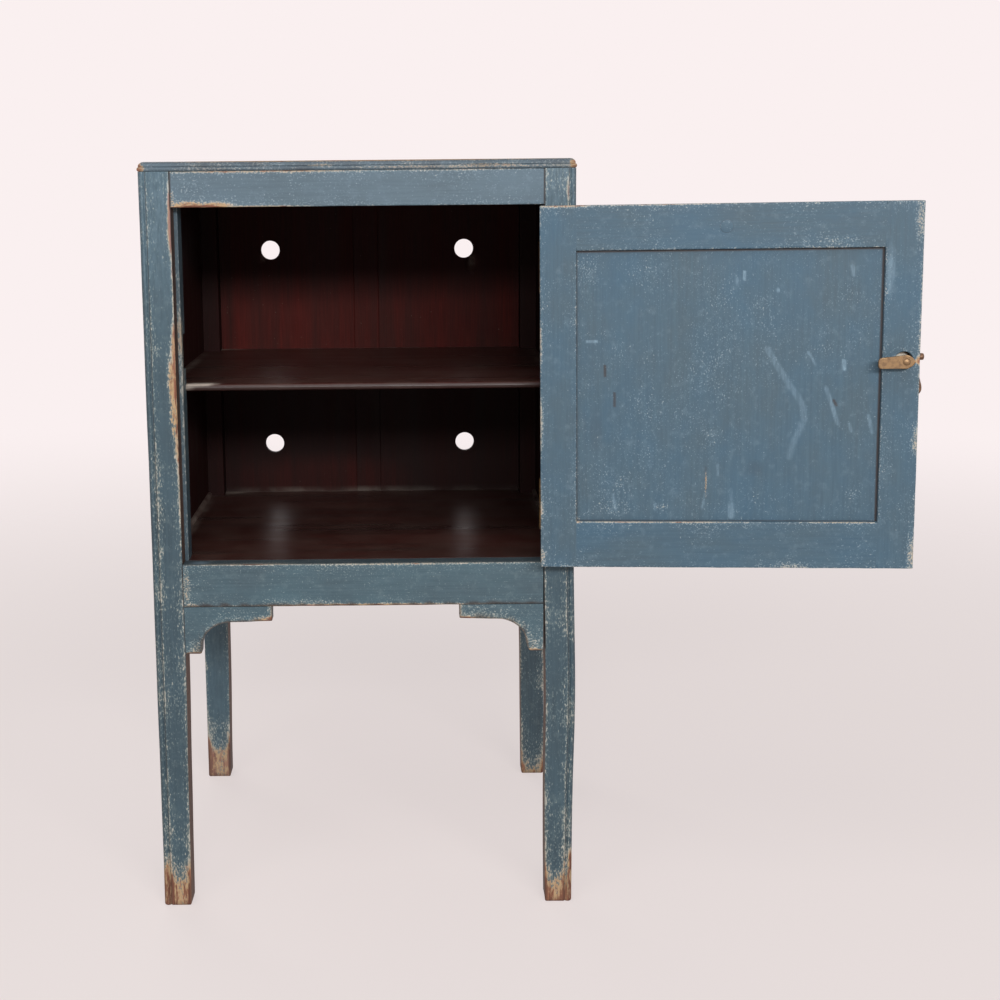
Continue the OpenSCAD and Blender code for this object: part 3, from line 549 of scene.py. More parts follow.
plank("rail_front_top", "worn", (-leg_in, *rail_low[1:]), (leg_in, *rail_high[1:]), 4, [rail_paint, stain],
      LEVEL, 41, [0], rub=lambda at: dabs(at, top_rail_rubs),
      soil=lambda at: 0.75 * (leg_in - np.abs(at[:, 0]) < 0.9), part=lambda at, way: way[:, 1] > 0.5)
# The pale patch on the lower rail's top by its left end is a painted highlight.
plank("rail_front_lower", "worn", (-leg_in, rail_low[1], rail_bottom), (leg_in, rail_high[1], floor_z), 4,
      [low_rail_paint, pine], LEVEL, 42, [0], rub=lambda at: dabs(at, low_rail_rubs), soil=low_rail_soil,
      scuff=lambda at: dabs(at, [((-167, -190, 369), (8, 6, 4), 0.9)]), part=lambda at, way: way[:, 1] > 0.5)
for number, (name, wood, slot) in enumerate((("rail_rear_top", stain, "stained_wood"),
                                             ("rail_rear_lower", pine, "bare_pine"))):
    low, high = extent(name)
    plank(name, "planed", (-leg_in, *low[1:]), (leg_in, *high[1:]), 12, [wood], LEVEL, 43 + number, [0],
          slot=slot)

# ---- Brackets ----
# A shaped bracket of pine in each corner below the front rail, sawn to a hollow curve and glued to
# the rail and the leg. The sawn edge is the most worn of all.

arc_x, arc_w = 47, 30           # the hollow's middle and reach, out along the rail
arc_z, arc_h = -42, 26.5        # and downwards
tip_z = -14.3                   # the lower edge at the end of a bracket
bracket_feet = {"bracket_left": (15, 1), "bracket_right": (12.8, 0)}    # foot's width, extra depth beyond
rim, thin = 2.8, 14.3           # the grid's rows follow the sawn edge as far as rim, and end at thin
lean, lean_to = 8, 62           # its columns lean to the leg by this much, most over the foot's end


def lengths(bends):
    """How far along a bent line each of its bends lies."""
    return np.append(0, np.cumsum(np.linalg.norm(np.diff(bends, axis=0), axis=1)))


def along(at, place, values):
    """Pairs of values at distances along a line, from those known at the distances place."""
    return np.stack([np.interp(at, place, values[:, i]) for i in (0, 1)], 1)


def ways(line):
    """The direction of a line at each of its points, of length 1."""
    run = np.gradient(line, axis=0)
    return run / np.linalg.norm(run, axis=1, keepdims=True)


def bracket_edge(long, drop, foot, lower):
    """The sawn lower edge, from the leg out to the tip: a short square foot on the leg, a slanting cut,
    a quarter of an ellipse and a straight stretch to the end. Returns points every 1.6 mm or so, and
    their distances along it."""
    turn = np.radians(np.arange(90, -1, -4))
    arc = np.stack([arc_x - arc_w * np.sin(turn), arc_z - lower + arc_h * np.cos(turn)], 1)
    slant = [min(foot + 1.5, arc_x - arc_w - 0.4), -drop + 0.6]
    corners = np.array([[0, -drop], [foot, -drop], slant, *arc, [long, tip_z - lower]])
    place = lengths(corners)
    even = np.linspace(0, place[-1], int(place[-1] / 1.6))
    return along(even, place, corners), even


for number, name in enumerate(bracket_feet):
    low, high = extent(name)
    foot, lower = bracket_feet[name]
    edge, place = bracket_edge(high[0] - low[0], high[2] - low[2], foot, lower)
    run = ways(edge)
    inward = np.stack([np.convolve(np.pad(part, 2, "edge"), np.ones(5) / 5, "valid")
                       for part in (-run[:, 1], run[:, 0])], 1)
    points, faces = shell(place, spread(low[1], high[1], 3),
                          np.array([0, 0.35, 0.8, 1.4, 2.4, rim, 7, 10, 12.5, thin]))
    limits_low, limits_high = np.array([-np.inf, low[1], 0]), np.array([place[-1], high[1], np.inf])
    distance = from_arris(points, limits_low, limits_high)
    out, deep, up = eased(points, limits_low, limits_high, 1.3 + 0.4 * waves(points, 30, 60 + number)).T
    start = along(out, place, edge)
    under = start + along(out, place, inward) * np.minimum(up, rim)[:, None]
    leant = lean * np.interp(out, [0, foot, lean_to], [0, 1, 0])
    top = np.stack([start[:, 0] - leant, np.zeros(len(start))], 1)
    x, z = (under + (top - under) * ramp(up, rim, thin)[:, None]).T
    x = np.clip(x, 0, high[0] - low[0])
    points = np.stack([high[0] - x if number else low[0] + x, deep, high[2] + z], 1)
    tip_x, foot_x = (low[0], high[0] - 12) if number else (high[0], low[0] + 12)
    rub = np.maximum(dabs(points, [((tip_x, -199, high[2] - 14), (22, 6, 2.5), 0.75),
                                   ((foot_x, -199, low[2]), (12, 6, 3), 0.8)]),
                     0.1 + 0.25 * ramp(distance, 6, 0) + 0.1 * number)
    soil = np.maximum.reduce([0.4 * ramp(deep, high[1] - 3, high[1]),
                              0.8 * np.clip(1.4 - up / 2 + 0.6 * waves(points, 16, 66), 0, 1),
                              0.75 * np.clip(1.3 - (place[-1] - out) / 1.6, 0, 1)])
    piece(name, "sawn", points, faces, [low_rail_paint], LEVEL, 62 + number, distance, rub, soil=soil)

# ---- Side panels ----
# One wide thin pine board on each side, tongued into the legs. The outside was painted with the
# carcase, and the inside was stained.

side_in = -extent("side_panel_left")[1][0]
for number, name in enumerate(("side_panel_left", "side_panel_right")):
    low, high = extent(name)
    outside, inwards = (high[0], -1) if number else (low[0], 1)
    knocks = [((outside, 60, 345), (6, 150, 16), 0.3), ((outside, -150, 560), (6, 14, 120), 0.22),
              ((outside, 120, 640), (6, 60, 30), 0.18), ((outside, -40, 470), (6, 25, 40), 0.2)]
    plank(name, "planed", (low[0], -leg_in_y, low[2]), (high[0], leg_in_y, high[2]), 5,
          [rail_paint, dry_stain], [2, 1, 0], 70 + number, [1], 0.6, rub=lambda at: dabs(at, knocks),
          soil=lambda at: np.where(at[:, 2] < rail_bottom + 1, 0.35, 0.8 * (np.abs(at[:, 0]) < side_in + 1)),
          part=lambda at, way: way[:, 0] * inwards > 0.5)

# ---- Boards of the back ----
# Two wide pine boards and a narrow slip between them, nailed over the rear rails, with four round vent
# holes bored through. Stained inside and left bare behind. The borer tore the wood where it came out.

vent_half, vent_cells = 27, 12  # half the side of the square of finer points round a hole, and its cells
pine_back = old_pine("old_unfinished_pine_back", "#A68661", "#7A5A3E", 0.85)


def with_cells(values, middles, half, cells):
    """Puts evenly spaced values, which a hole's square needs, in place of those near each middle."""
    for middle in middles:
        kept = values[np.abs(values - middle) > half + 1]
        values = np.sort(np.concatenate([kept, np.linspace(middle - half, middle + half, cells + 1)]))
    return values


def bored(points, faces, middle, half, cells, radius, y, turn=0.6):
    """Opens a round hole along Y. The faces inside the square go, on both sides, and a band takes their
    place: it runs from the square in to the circle, turns through the wood, and runs out again."""
    quads = faces[0]
    centre = points[quads].mean(1)
    flat = np.ptp(points[quads][:, :, 1], axis=1) < 1e-6
    inside = (np.abs(centre[:, 0] - middle[0]) < half) & (np.abs(centre[:, 2] - middle[1]) < half) & flat
    side, edge = np.linspace(-half, half, cells + 1)[:-1], np.full(cells, half)
    square = np.concatenate([np.stack(run, 1) for run in (
        (side, -edge), (edge, side), (-side, edge), (-edge, -side))])
    way = square / np.linalg.norm(square, axis=1, keepdims=True)
    share = np.array([0, 0.22, 0.42, 0.6, 0.76, 0.9])
    bend = np.radians([0, 30, 60, 90])
    front_r, front_y = radius + turn * (1 - np.sin(bend)), y[0] + turn * (1 - np.cos(bend))
    walls = np.linspace(y[0] + turn, y[1] - turn, 4)[1:-1]
    spans = [square * (1 - s) + way * (radius + turn) * s for s in share]
    circles = [way * r for r in (*front_r, radius, radius, *front_r[::-1])]
    band = np.stack([*spans, *circles, *spans[::-1]])
    depth = np.array([*[y[0]] * len(share), *front_y, *walls, *(y[0] + y[1] - front_y[::-1]),
                      *[y[1]] * len(share)])
    rings = np.stack([middle[0] + band[..., 0], np.broadcast_to(depth[:, None], band.shape[:2]),
                      middle[1] + band[..., 1]], -1)
    everything = np.concatenate([points, rings.reshape(-1, 3)])
    quads = np.concatenate([quads[~inside], len(points) + banded(*rings.shape[:2])])
    _, first, place = np.unique(np.round(everything / 0.002).astype(np.int64), axis=0, return_index=True,
                                return_inverse=True)
    used, quads = np.unique(place.reshape(-1)[quads], return_inverse=True)
    return everything[first[used]], [quads.reshape(-1, 4)]


shelf_under = extent("shelf")[0][2]
vents_x, vents_z, vent_r = (-121.5, 116.5), (430.45, 670.95), 11.5
for number, name in enumerate(("back_board_left", "back_slip", "back_board_right")):
    low, high = extent(name)
    holes = [(x, z) for x in vents_x for z in vents_z if low[0] < x < high[0]]
    across, up = spread(low[0], high[0], 8), spread(low[2], high[2], 8)
    if holes:
        across = with_cells(across, [holes[0][0]], vent_half, vent_cells)
        up = with_cells(up, vents_z, vent_half, vent_cells)
    points, faces = shell(across, spread(low[1], high[1], 3), up)
    for hole in holes:
        points, faces = bored(points, faces, hole, vent_half, vent_cells, vent_r, (low[1], high[1]))
    distance = from_arris(points, low, high)
    points = eased(points, low, high, 0.5)
    # splinters torn from the inner face at the lower edge of two holes
    torn = dabs(points, [((127, low[1], 655), (5, 3, 9), 1), ((-130, low[1], 662), (4, 3, 5), 0.7)])
    points[:, 1] += 1.8 * torn * (points[:, 1] < low[1] + 1.5)
    for hole in holes:
        reach = np.hypot(points[:, 0] - hole[0], points[:, 2] - hole[1])
        distance = np.minimum(distance, np.abs(reach - vent_r))
    # painted shade at the top and below the shelf, with a painted patch of light low down in it, and a line
    # of dust along the floor
    lit_patch = dabs(points, [((-60, low[1], 385), (90, 3, 26), 1.0)])
    shade_below_shelf = (0.88 - 0.3 * lit_patch) * ramp(points[:, 2], shelf_under, shelf_under - 20)
    grime = np.maximum(0.55 * ramp(points[:, 2], 604, 640), shade_below_shelf) * (1 - torn)
    dust_line = dabs(points, [((0, low[1], floor_z), (230, 3, 1.6), 0.6)])
    piece(name, "bored", points, faces, [dry_stain, pine_back], UPRIGHT, 80 + number, distance,
          scuff=np.maximum(0.8 * torn, dust_line), soil=grime, part=lambda at, way: way[:, 1] > 0.5,
          slot="stained_wood")

# ---- Cupboard floor ----
# A pine floor on two bearers, stained and polished dark, with a quarter-round bead along each side.
# The shelf above it is of the same wood, with a rounded nose.

FLAT = [0, 1, 2]                # the axes along, across and through a board that lies flat
DEEP = [1, 0, 2]                # and those of a piece that runs from front to back
for name, seed in (("floor_board", 90), ("shelf", 91)):
    low, high = extent(name)
    is_shelf = name == "shelf"
    start = low[1] if is_shelf else max(low[1], rail_high[1])
    steps = [y + d for y in (-leg_in_y, leg_in_y) for d in (-0.01, 0.01)]
    depth = np.append(spread(start, high[1], 7), steps)
    depth = np.unique(depth[(depth >= start) & (depth <= high[1])])
    points, faces = shell(np.linspace(-1, 1, 61), depth, spread(low[2], high[2], 3))
    # narrower where the board passes between the legs
    points[:, 0] *= np.where(np.abs(points[:, 1]) < leg_in_y, side_in + 1, leg_in - 0.1)
    if is_shelf:
        nose = (high[2] - low[2]) / 2
        back = ramp(points[:, 1], low[1], low[1] + nose)
        points[:, 2] = low[2] + nose + (points[:, 2] - low[2] - nose) * np.sqrt(1 - (1 - back) ** 2)
    dusty = dabs(points, [((-190, 188, high[2]), (34, 9, 4), 0.5), ((0, 190.5, high[2]), (200, 2, 4), 0.4),
                          ((-196, 0, high[2]), (3, 150, 4), 0.3), ((196, 0, high[2]), (3, 150, 4), 0.3)])
    # a bright smear in the pale dust colour on the shelf's nose at its left is a painted highlight, and the
    # darker lower part of the nose is painted shade
    nose_highlight = dabs(points, [((-170, low[1] + 5, high[2]), (19, 5, 3), 2.4),
                        ((-182, low[1], high[2] - 2), (9, 5, 4), 1.5)])
    shade_under_nose = 0.6 * (points[:, 1] < low[1] + 3.4) * ramp(points[:, 2], high[2] - 0.8, high[2] - 2)
    piece(name, "polished", points, faces, [stain, pine], FLAT, seed, from_arris(points, low, high),
          scuff=np.maximum(dusty, nose_highlight * is_shelf), soil=shade_under_nose * is_shelf,
          part=lambda at, way: (way[:, 2] < -0.5) * (not is_shelf), slot="stained_wood")
for number, name in enumerate(("floor_bead_left", "floor_bead_right")):
    low, high = extent(name)
    turn = np.radians(np.arange(0, 91, 15))
    section = (high[2] - low[2]) * np.array([(0, 0), *zip(np.cos(turn), np.sin(turn))])
    rings = np.stack([np.stack([high[0] - section[:, 0] if number else low[0] + section[:, 0],
                                np.full(len(section), y), low[2] + section[:, 1]], 1)
                      for y in np.linspace(low[1], high[1], 40)])
    piece(name, "run", *carried(rings), [stain], DEEP, 92 + number, scuff=0.3, slot="stained_wood")
for number, name in enumerate(("floor_bearer_left", "floor_bearer_right")):
    plank(name, "sawn", *extent(name), 12, [pine], DEEP, 96 + number, slot="bare_pine")
block_pine = old_pine("old_unfinished_pine_blocks", "#A9845C", "#7A5535", by_object=True)
frame["nodes"]["glue_blocks"].material_slots[0].material = block_pine

# ---- Door stop ----
# A thin painted strip nailed to the left leg, which the door closes on. It is cut away where the
# catch's arm passes, and rubbed by that arm.

low, high = extent("door_stop")
notch_y, notch_z = -169.2, (566, 602)
up = np.unique(np.append(spread(low[2], high[2], 5), [z + d for z in notch_z for d in (-0.01, 0.01)]))
points, faces = shell(spread(low[0], high[0], 1.5), spread(0, 1, 0.2, (0, 0.05, 0.12, 0.25)), up)
in_notch = (points[:, 2] > notch_z[0]) & (points[:, 2] < notch_z[1])
points[:, 1] = low[1] + points[:, 1] * (np.where(in_notch, notch_y, high[1]) - low[1])
limits = low - (50, 0, 50), high + (0, 0, 50)        # only the two arrises on its right are turned
distance = from_arris(points, *limits)
points = eased(points, *limits, 0.5)
rub = dabs(points, [((-182, -178, 600), (4, 6, 22), 0.55), ((-180.3, -172, 585), (3, 10, 40), 0.4),
                    ((-181, -178, 560), (3, 6, 60), 0.3)])
piece("door_stop", "rubbed", points, faces, [leg_paint], UPRIGHT, 95, distance, rub,
      scuff=0.12 * (points[:, 1] < low[1] + 1), soil=0.3)

# ---- Top ----
# A single pine board moulded on three edges with a bead below a quarter-round, painted like the rest
# and most handled of all: the moulding is rubbed to the wood at both front corners.

edge_bead_r = 2.3
ovolo_back, ovolo_w, ovolo_z = 1.2, 5.4, 4.9         # how far back it starts, its width, and where it starts
low, high = extent("top_board")
top_t = high[2] - low[2]
turn = np.radians(np.arange(-90, 76, 15))
bead = np.stack([edge_bead_r * (1 - np.cos(turn)), edge_bead_r * (1 + np.sin(turn))], 1)
turn = np.radians(np.arange(0, 91, 10))
ovolo = np.stack([ovolo_w * (1 - np.cos(turn)) + ovolo_back, ovolo_z + (top_t - ovolo_z) * np.sin(turn)], 1)
edge = np.concatenate([[[1.9, 0.0]], bead[1:], ovolo])
close = (0, 0.004, 0.01, 0.018)      # near the edges the grid is closer, in shares of the board
points, faces = shell(spread(0, 1, 0.012, close), spread(0, 1, 0.014, close),
                      np.arange(len(edge), dtype=float))
inset, height = edge[points[:, 2].astype(int)].T
inset = np.maximum(inset + 0.12 * waves(points * (430, 400, 0), 40, 101), 0)
points = np.stack([low[0] + inset + points[:, 0] * (high[0] - low[0] - 2 * inset),
                   low[1] + inset + points[:, 1] * (high[1] - low[1] - inset), low[2] + height], 1)
in_from = np.minimum.reduce([points[:, 0] - low[0], high[0] - points[:, 0], points[:, 1] - low[1]])
moulded = height < top_t - 0.01
on_edge = np.minimum(np.abs(height - edge_bead_r), np.abs(height - ovolo_z)) + 1.5
distance = np.minimum(np.where(moulded, on_edge, np.abs(in_from - ovolo_w - ovolo_back)),
                      high[1] - points[:, 1] + 0.5)
top_rubs = [
    ((-214, -200, 768), (6, 5, 6), 0.95), ((214, -200, 769), (6, 5, 7), 0.95),
    ((-35, -199, 769), (13, 3, 2.5), 0.5), ((130, -200, 768), (34, 3, 1.9), 0.56),
    ((95, -200.5, 767.2), (120, 2, 1.6), 0.46), ((-150, -200.5, 766.8), (50, 2, 1.2), 0.25),
    ((0, -196, 773.6), (210, 3, 1.0), 0.85), ((20, -120, 774), (150, 60, 3), 0.2),
    ((-120, 60, 774), (60, 90, 3), 0.16), ((130, 90, 774), (40, 60, 3), 0.24),
    ((0, 192, 774), (200, 5, 4), 0.4)]
handled = moulded * (0.15 + 0.18 * waves(points, 34, 104))
soil = np.maximum.reduce([0.5 * (height < 0.1), 0.6 * ramp(np.abs(height - top_t + 0.8), 1.4, 0),
                          moulded * (0.3 + 0.16 * waves(points, 50, 103))])
piece("top_board", "moulded", points, faces, [rail_paint], FLAT, 102, distance,
      np.maximum(dabs(points, top_rubs), handled), soil=soil)

# ---- Screws and nails ----
# Drawn iron screws up through the rails into the top, and cut nails that hold the back boards, all
# dark and dry with age.


def dark_iron(name):
    """Drawn iron gone brown-black: dull metal, with rust in patches of a millimetre or two."""
    material, tree, surface = new_material(name)
    rust = drawn(tree, put(tree, "TexCoord", out="Object"), (1.8, 4))[0]
    part, metal, rough = [put(tree, "MapRange", [rust, 0.45, 0.6, *ends])
                          for ends in ((0, 1), (1, 0.1), (0.5, 0.85))]
    colour = put(tree, "Mix", {0: part, 6: srgb("#4A4440"), 7: srgb("#5C3A28")}, **COLOURS)
    feed(surface, {"Base Color": colour, "Metallic": metal, "Roughness": rough})
    return material


iron = dark_iron("drawn_iron_rusted")
for name in ("top_screws", "back_nails"):
    frame["nodes"][name].material_slots[0].material = iron

# ---- Hinges ----
# A pair of cast brass butt hinges let into the leg and the door's edge, with three screws to a leaf.
# No hand rubs them, so they have gone dull and brown.


def old_brass(name, bright, dull, rough_low=0.3, rough_high=0.55):
    """Cast brass, filed and handled: a warm metal, browned where hands don't reach, finely scratched.
    The tarnish lies in clouds, and the file marks are drawn coarser than real."""
    material, tree, surface = new_material(name)
    cloud, filed = drawn(tree, put(tree, "TexCoord", out="Object"), (4, 5, 0.65), ((6, 0.5, 0.5), 2))
    part, rough = [put(tree, "MapRange", [cloud, 0.35, 0.65, *ends])
                   for ends in ((0, 1), (rough_high, rough_low))]
    colour = put(tree, "Mix", {0: part, 6: srgb(dull), 7: srgb(bright)}, **COLOURS)
    bump = put(tree, "Bump", {"Height": filed, "Strength": 0.4, "Distance": 0.0001})
    feed(surface, {"Base Color": colour, "Metallic": 0.9, "Roughness": rough, "Normal": bump})
    return material


hinge_brass = old_brass("cast_brass_hinges", "#8E7146", "#4E4436", 0.45, 0.7)
for name, node in frame["nodes"].items():
    if name.startswith("hinge_"):
        node.material_slots[0].material = hinge_brass

# ---- Door frame ----
# Two stiles and two rails of pine, joined with tenons and cleaned off flush, so that the joints don't
# show under the paint. The stile by the hand is worn by fingers, and its hole is wider than the catch
# needs.

swing, catch_joint = [next(j for j in frame["joints"] if j["name"] == name)
                      for name in ("door_swing", "catch_turn")]
hinge_at = np.array(swing["pos_m"]) / METRES
hinge_way = np.array(swing["axis"]) / np.linalg.norm(swing["axis"])
open_by = np.radians(-swing["range_deg"][0])


def swung(points, angle=open_by):
    """Points turned about the hinge line by an angle, by Rodrigues' formula."""
    arm = np.array(points, float) - hinge_at
    along = (arm @ hinge_way)[..., None] * hinge_way
    return hinge_at + along + (arm - along) * np.cos(angle) + np.cross(hinge_way, arm) * np.sin(angle)


def shut_extent(node):
    """The lowest and highest corners of one of the door's CAD nodes with the door shut, in millimetres."""
    mesh = frame["nodes"][node].data
    flat = np.zeros(len(mesh.vertices) * 3)
    mesh.vertices.foreach_get("co", flat)
    points = swung(flat.reshape(-1, 3) / METRES, -open_by)
    return points.min(0), points.max(0)


door_paint = worn_paint("brushed_oil_paint_door", "#3A5A6F", "#405663", "#56707F", -0.03, 1.7)
hung_low, hung_high = shut_extent("door_stile_hinge")
catch_low, catch_high = shut_extent("door_stile_catch")
panel_low, panel_high = shut_extent("door_panel")
groove = 6
opening_low = np.array([catch_high[0], panel_low[2] + groove])
opening_high = np.array([hung_low[0], panel_high[2] - groove])
catch_at = swung(np.array(catch_joint["pos_m"]) / METRES, -open_by)
hole_r, hole_half, hole_cells = 8.75, 12, 12
inner_y, outer_y = hung_high[1], hung_low[1]

door_rubs = [
    ((183, inner_y, 590), (3, 6, 22), 0.36), ((183, inner_y, 515), (3, 6, 28), 0.38),
    ((183, inner_y, 428), (3, 6, 8), 0.4), ((182, inner_y, 380), (4, 6, 9), 0.45),
    ((158, inner_y, 728.5), (28, 6, 2.5), 0.5), ((60, inner_y, 728.5), (80, 6, 1.2), 0.35),
    ((-177, inner_y, 710), (4, 6, 22), 0.42), ((-179, inner_y, 496), (3, 6, 14), 0.42),
    ((-179, inner_y, 385), (4, 6, 16), 0.42), ((-180.5, inner_y, 600), (2, 6, 100), 0.2),
    ((-180, inner_y, 576), (3, 6, 4), 1.0), ((-102, inner_y, 693), (20, 6, 5), 0.2),
    ((-65, inner_y, 371.5), (14, 6, 5), 0.3), ((70, inner_y, 416.9), (88, 3, 1.3), 0.45),
    ((-112, inner_y, 416.7), (35, 3, 1.0), 0.44), ((146, inner_y, 417.5), (3, 6, 3), 0.5)]
door_scuffs = [((-151, inner_y, 664), (3.5, 4, 22), 0.4)]


def hang(node, how, points, faces, grain, seed, **marks):
    """A piece of the door, laid out shut: the grain's coordinates are taken before it is turned open."""
    made = piece(node, how, points, faces, [door_paint], grain, seed, body="door", **marks)
    made.data.vertices.foreach_set("co", (swung(points) * METRES).astype(np.float32).ravel())
    made.data.update()


def with_lines(values, lines):
    """Adds lines to values, in place of any that come within a quarter of a millimetre of them."""
    kept = values[np.abs(values[:, None] - np.array(lines)).min(1) > 0.25]
    return np.unique(np.concatenate([kept, lines]))


def member(name, low, high, grain, seed, joints=None, hole=None, leaves=()):
    """A stile or a rail of the door, laid out shut. Its outer arrises are turned. Where a rail meets a
    stile both stay sharp, so that the joint is flush. The leaves of the hinges are let into its edge."""
    low, high = np.array(low, float), np.array(high, float)
    across, deep, up = [spread(l, h, 4) for l, h in zip(low, high)]
    if hole is not None:
        across = with_cells(across, [hole[0]], hole_half, hole_cells)
        up = with_cells(up, [hole[1]], hole_half, hole_cells)
    beds = [(leaf_low - (0.03, 0, 0.4), leaf_high + (0, 0.4, 0.4)) for leaf_low, leaf_high in leaves]
    if beds:
        across = with_lines(across, [bed[0][0] for bed in beds])
        deep = with_lines(deep, [bed[1][1] for bed in beds])
        up = with_lines(up, [end[2] for bed in beds for end in bed])

    def bedded(at):
        """Whether a cell's middle lies in the bed of a leaf: past its floor, and within its sides."""
        x, y, z = np.moveaxis(at, -1, 0)
        return np.any([(x > floor[0]) & (y < end[1]) & (z > floor[2]) & (z < end[2]) for floor, end in beds],
                      axis=0)

    points, faces = shell(across, deep, up, bedded if beds else None)
    if hole is not None:
        points, faces = bored(points, faces, hole, hole_half, hole_cells, hole_r, (low[1], high[1]), 0.5)
    open_low, open_high = low.copy(), high.copy()
    joined = np.zeros(len(points), bool)
    if joints is None:
        open_low[0], open_high[0] = -np.inf, np.inf
    else:
        inner_side = low[0] if high[0] > 0 else high[0]
        at_joint = (points[:, 2] < joints[0]) | (points[:, 2] > joints[1])
        joined = at_joint & (np.abs(points[:, 0] - inner_side) < 14)
    away = np.minimum(points[:, 2] - low[2], high[2] - points[:, 2])
    distance = np.where(joined, away, np.minimum(from_arris(points, open_low, open_high), no_arris))
    radius = np.where(joined & (away > 3), 0.02, 1.2 * (1 + 0.4 * waves(points, 45, seed)))
    if hole is not None:
        reach = np.hypot(points[:, 0] - hole[0], points[:, 2] - hole[1])
        distance = np.minimum(distance, np.abs(reach - hole_r) + 1)
    hang(name, "worn", eased(points, open_low, open_high, radius), faces, grain, seed, arris=distance,
         rub=dabs(points, door_rubs), scuff=dabs(points, door_scuffs))


joints = (opening_low[1], opening_high[1])
member("door_stile_hinge", hung_low, hung_high, UPRIGHT, 110, joints,
       leaves=[shut_extent("hinge_door_leaf_upper"), shut_extent("hinge_door_leaf_lower")])
member("door_stile_catch", catch_low, catch_high, UPRIGHT, 111, joints, (catch_at[0], catch_at[2]))
for name, seed, bottom, top in (("door_rail_top", 112, opening_high[1], hung_high[2]),
                                ("door_rail_bottom", 113, hung_low[2], opening_low[1])):
    member(name, (catch_high[0], outer_y, bottom), (hung_low[0], inner_y, top), LEVEL, seed)

# ---- Door panel ----
# A thin flat pine panel held in the frame's grooves, its inner face set back 5 mm. Its paint is the
# most marked: long curved scuffs where something swung against it, nicks, drips and flecks.

panel_front = panel_high[1]
# scuffs as bent lines of (x, z) with half width and strength; most are paint rubbed pale
scuff_lines = [
    ([(-37.5, 587), (-48, 569), (-59, 552), (-67, 541), (-72, 531), (-73.5, 518), (-69, 506), (-65, 498),
      (-60, 481)], 2.0, 0.25),
    ([(-94, 549), (-100, 532), (-106, 514)], 1.3, 0.4), ([(-135, 522), (-139, 505)], 1.0, 0.35),
    ([(-117, 514), (-119, 507)], 1.0, 0.35), ([(-76, 584), (-79, 580), (-83, 572)], 0.8, 0.4),
    ([(-7, 656), (-7, 650)], 1.0, 0.25), ([(8.7, 473), (8.6, 463)], 0.8, 0.45),
    ([(-4.3, 448), (-4.6, 434)], 1.1, 0.22), ([(-4.6, 433), (-4.8, 422)], 2.0, 0.45),
    ([(-13.7, 662.5), (-13.8, 655.6)], 0.8, 0.9), ([(-110.3, 575.5), (-110.5, 567.5)], 1.0, 0.9),
    ([(138, 596), (127, 596)], 0.6, 0.7), ([(112, 443), (109, 428)], 1.0, 0.35),
    ([(70, 434), (70, 428)], 1.0, 0.3), ([(-46, 645), (-46, 644)], 1.0, 0.6),
    ([(-116, 667), (-117, 658)], 1.0, 0.35), ([(20, 446), (24, 430)], 0.8, 0.3)]
nick_lines = [([(119.8, 572), (119.7, 562)], 0.7, 0.8), ([(110.4, 545), (110.3, 532)], 0.7, 0.7),
              ([(-101.5, 537), (-104, 532)], 0.9, 0.8), ([(20.4, 471), (20.0, 440)], 0.5, 0.4)]


def strokes(points, lines):
    """How far each point lies in any of some bent lines: the strength on the line, falling to nothing
    at twice its half width."""
    depth = np.zeros(len(points))
    flat = points[:, [0, 2]]
    for bends, half, strength in lines:
        for a, b in zip(np.array(bends[:-1]), np.array(bends[1:])):
            share = np.clip((flat - a) @ (b - a) / ((b - a) @ (b - a)), 0, 1)[:, None]
            away = np.linalg.norm(flat - a - share * (b - a), axis=1)
            depth = np.maximum(depth, strength * np.clip(2 - away / half, 0, 1))
    return depth


in_groove, panel_step = 2.5, 1.35    # how far the panel reaches into the grooves, and its points' spacing
across, up = [spread(low - in_groove, high + in_groove, panel_step, (0,))
              for low, high in zip(opening_low, opening_high)]
points, faces = shell(across, np.array([panel_low[1], (panel_low[1] + panel_front) / 2, panel_front]), up)
shown = points[:, 1] > panel_front - 0.01
points[:, 1] += 0.18 * waves(points, 110, 121)
panel_rubs = [((134, panel_front, 668), (14, 4, 16), 0.2), ((84, panel_front, 664), (18, 4, 11), 0.18),
              ((20, panel_front, 582), (34, 4, 46), 0.1), ((-60, panel_front, 590), (60, 4, 40), 0.05),
              ((112, panel_front, 430), (28, 4, 7), 0.2), ((-122, panel_front, 445), (9, 4, 7), 0.22),
              ((60, panel_front, 470), (80, 4, 60), 0.06), ((146.5, panel_front, 419), (3, 4, 3), 0.6),
              ((20.2, panel_front, 455), (0.9, 4, 13), 0.9), ((64, panel_front, 431), (9, 4, 3), 0.3),
              ((140, panel_front, 424), (10, 4, 3), 0.3), ((105, panel_front, 500), (3, 4, 30), 0.12)]
side_gap = np.minimum.reduce([points[:, 0] - opening_low[0], opening_high[0] - points[:, 0],
                              points[:, 2] - opening_low[1], opening_high[1] - points[:, 2]])
# The dark line along the recess's top and catch-side edges is partly dirt and partly painted shadow of the
# frame.
shaded = np.minimum(opening_high[1] - points[:, 2], points[:, 0] - opening_low[0])
soil = np.maximum.reduce([
    strokes(points, nick_lines) * shown, 0.75 * (side_gap < 0.9), 0.92 * (shaded < 2.9),
    dabs(points, [((129, panel_front, 508), (6, 4, 20), 0.16), ((-27, panel_front, 470), (8, 4, 7), 0.16)])])
hang("door_panel", "marked", points, faces, UPRIGHT, 122, rub=dabs(points, panel_rubs),
     scuff=strokes(points, scuff_lines) * shown, soil=soil)

# ---- Plug ----
# A round wooden plug in an old knob hole through the top rail, painted over with it and standing a
# hair proud on both sides.

ABOUT_Y = [1, 0, 2]             # lays a shape that was turned about the X axis along Y


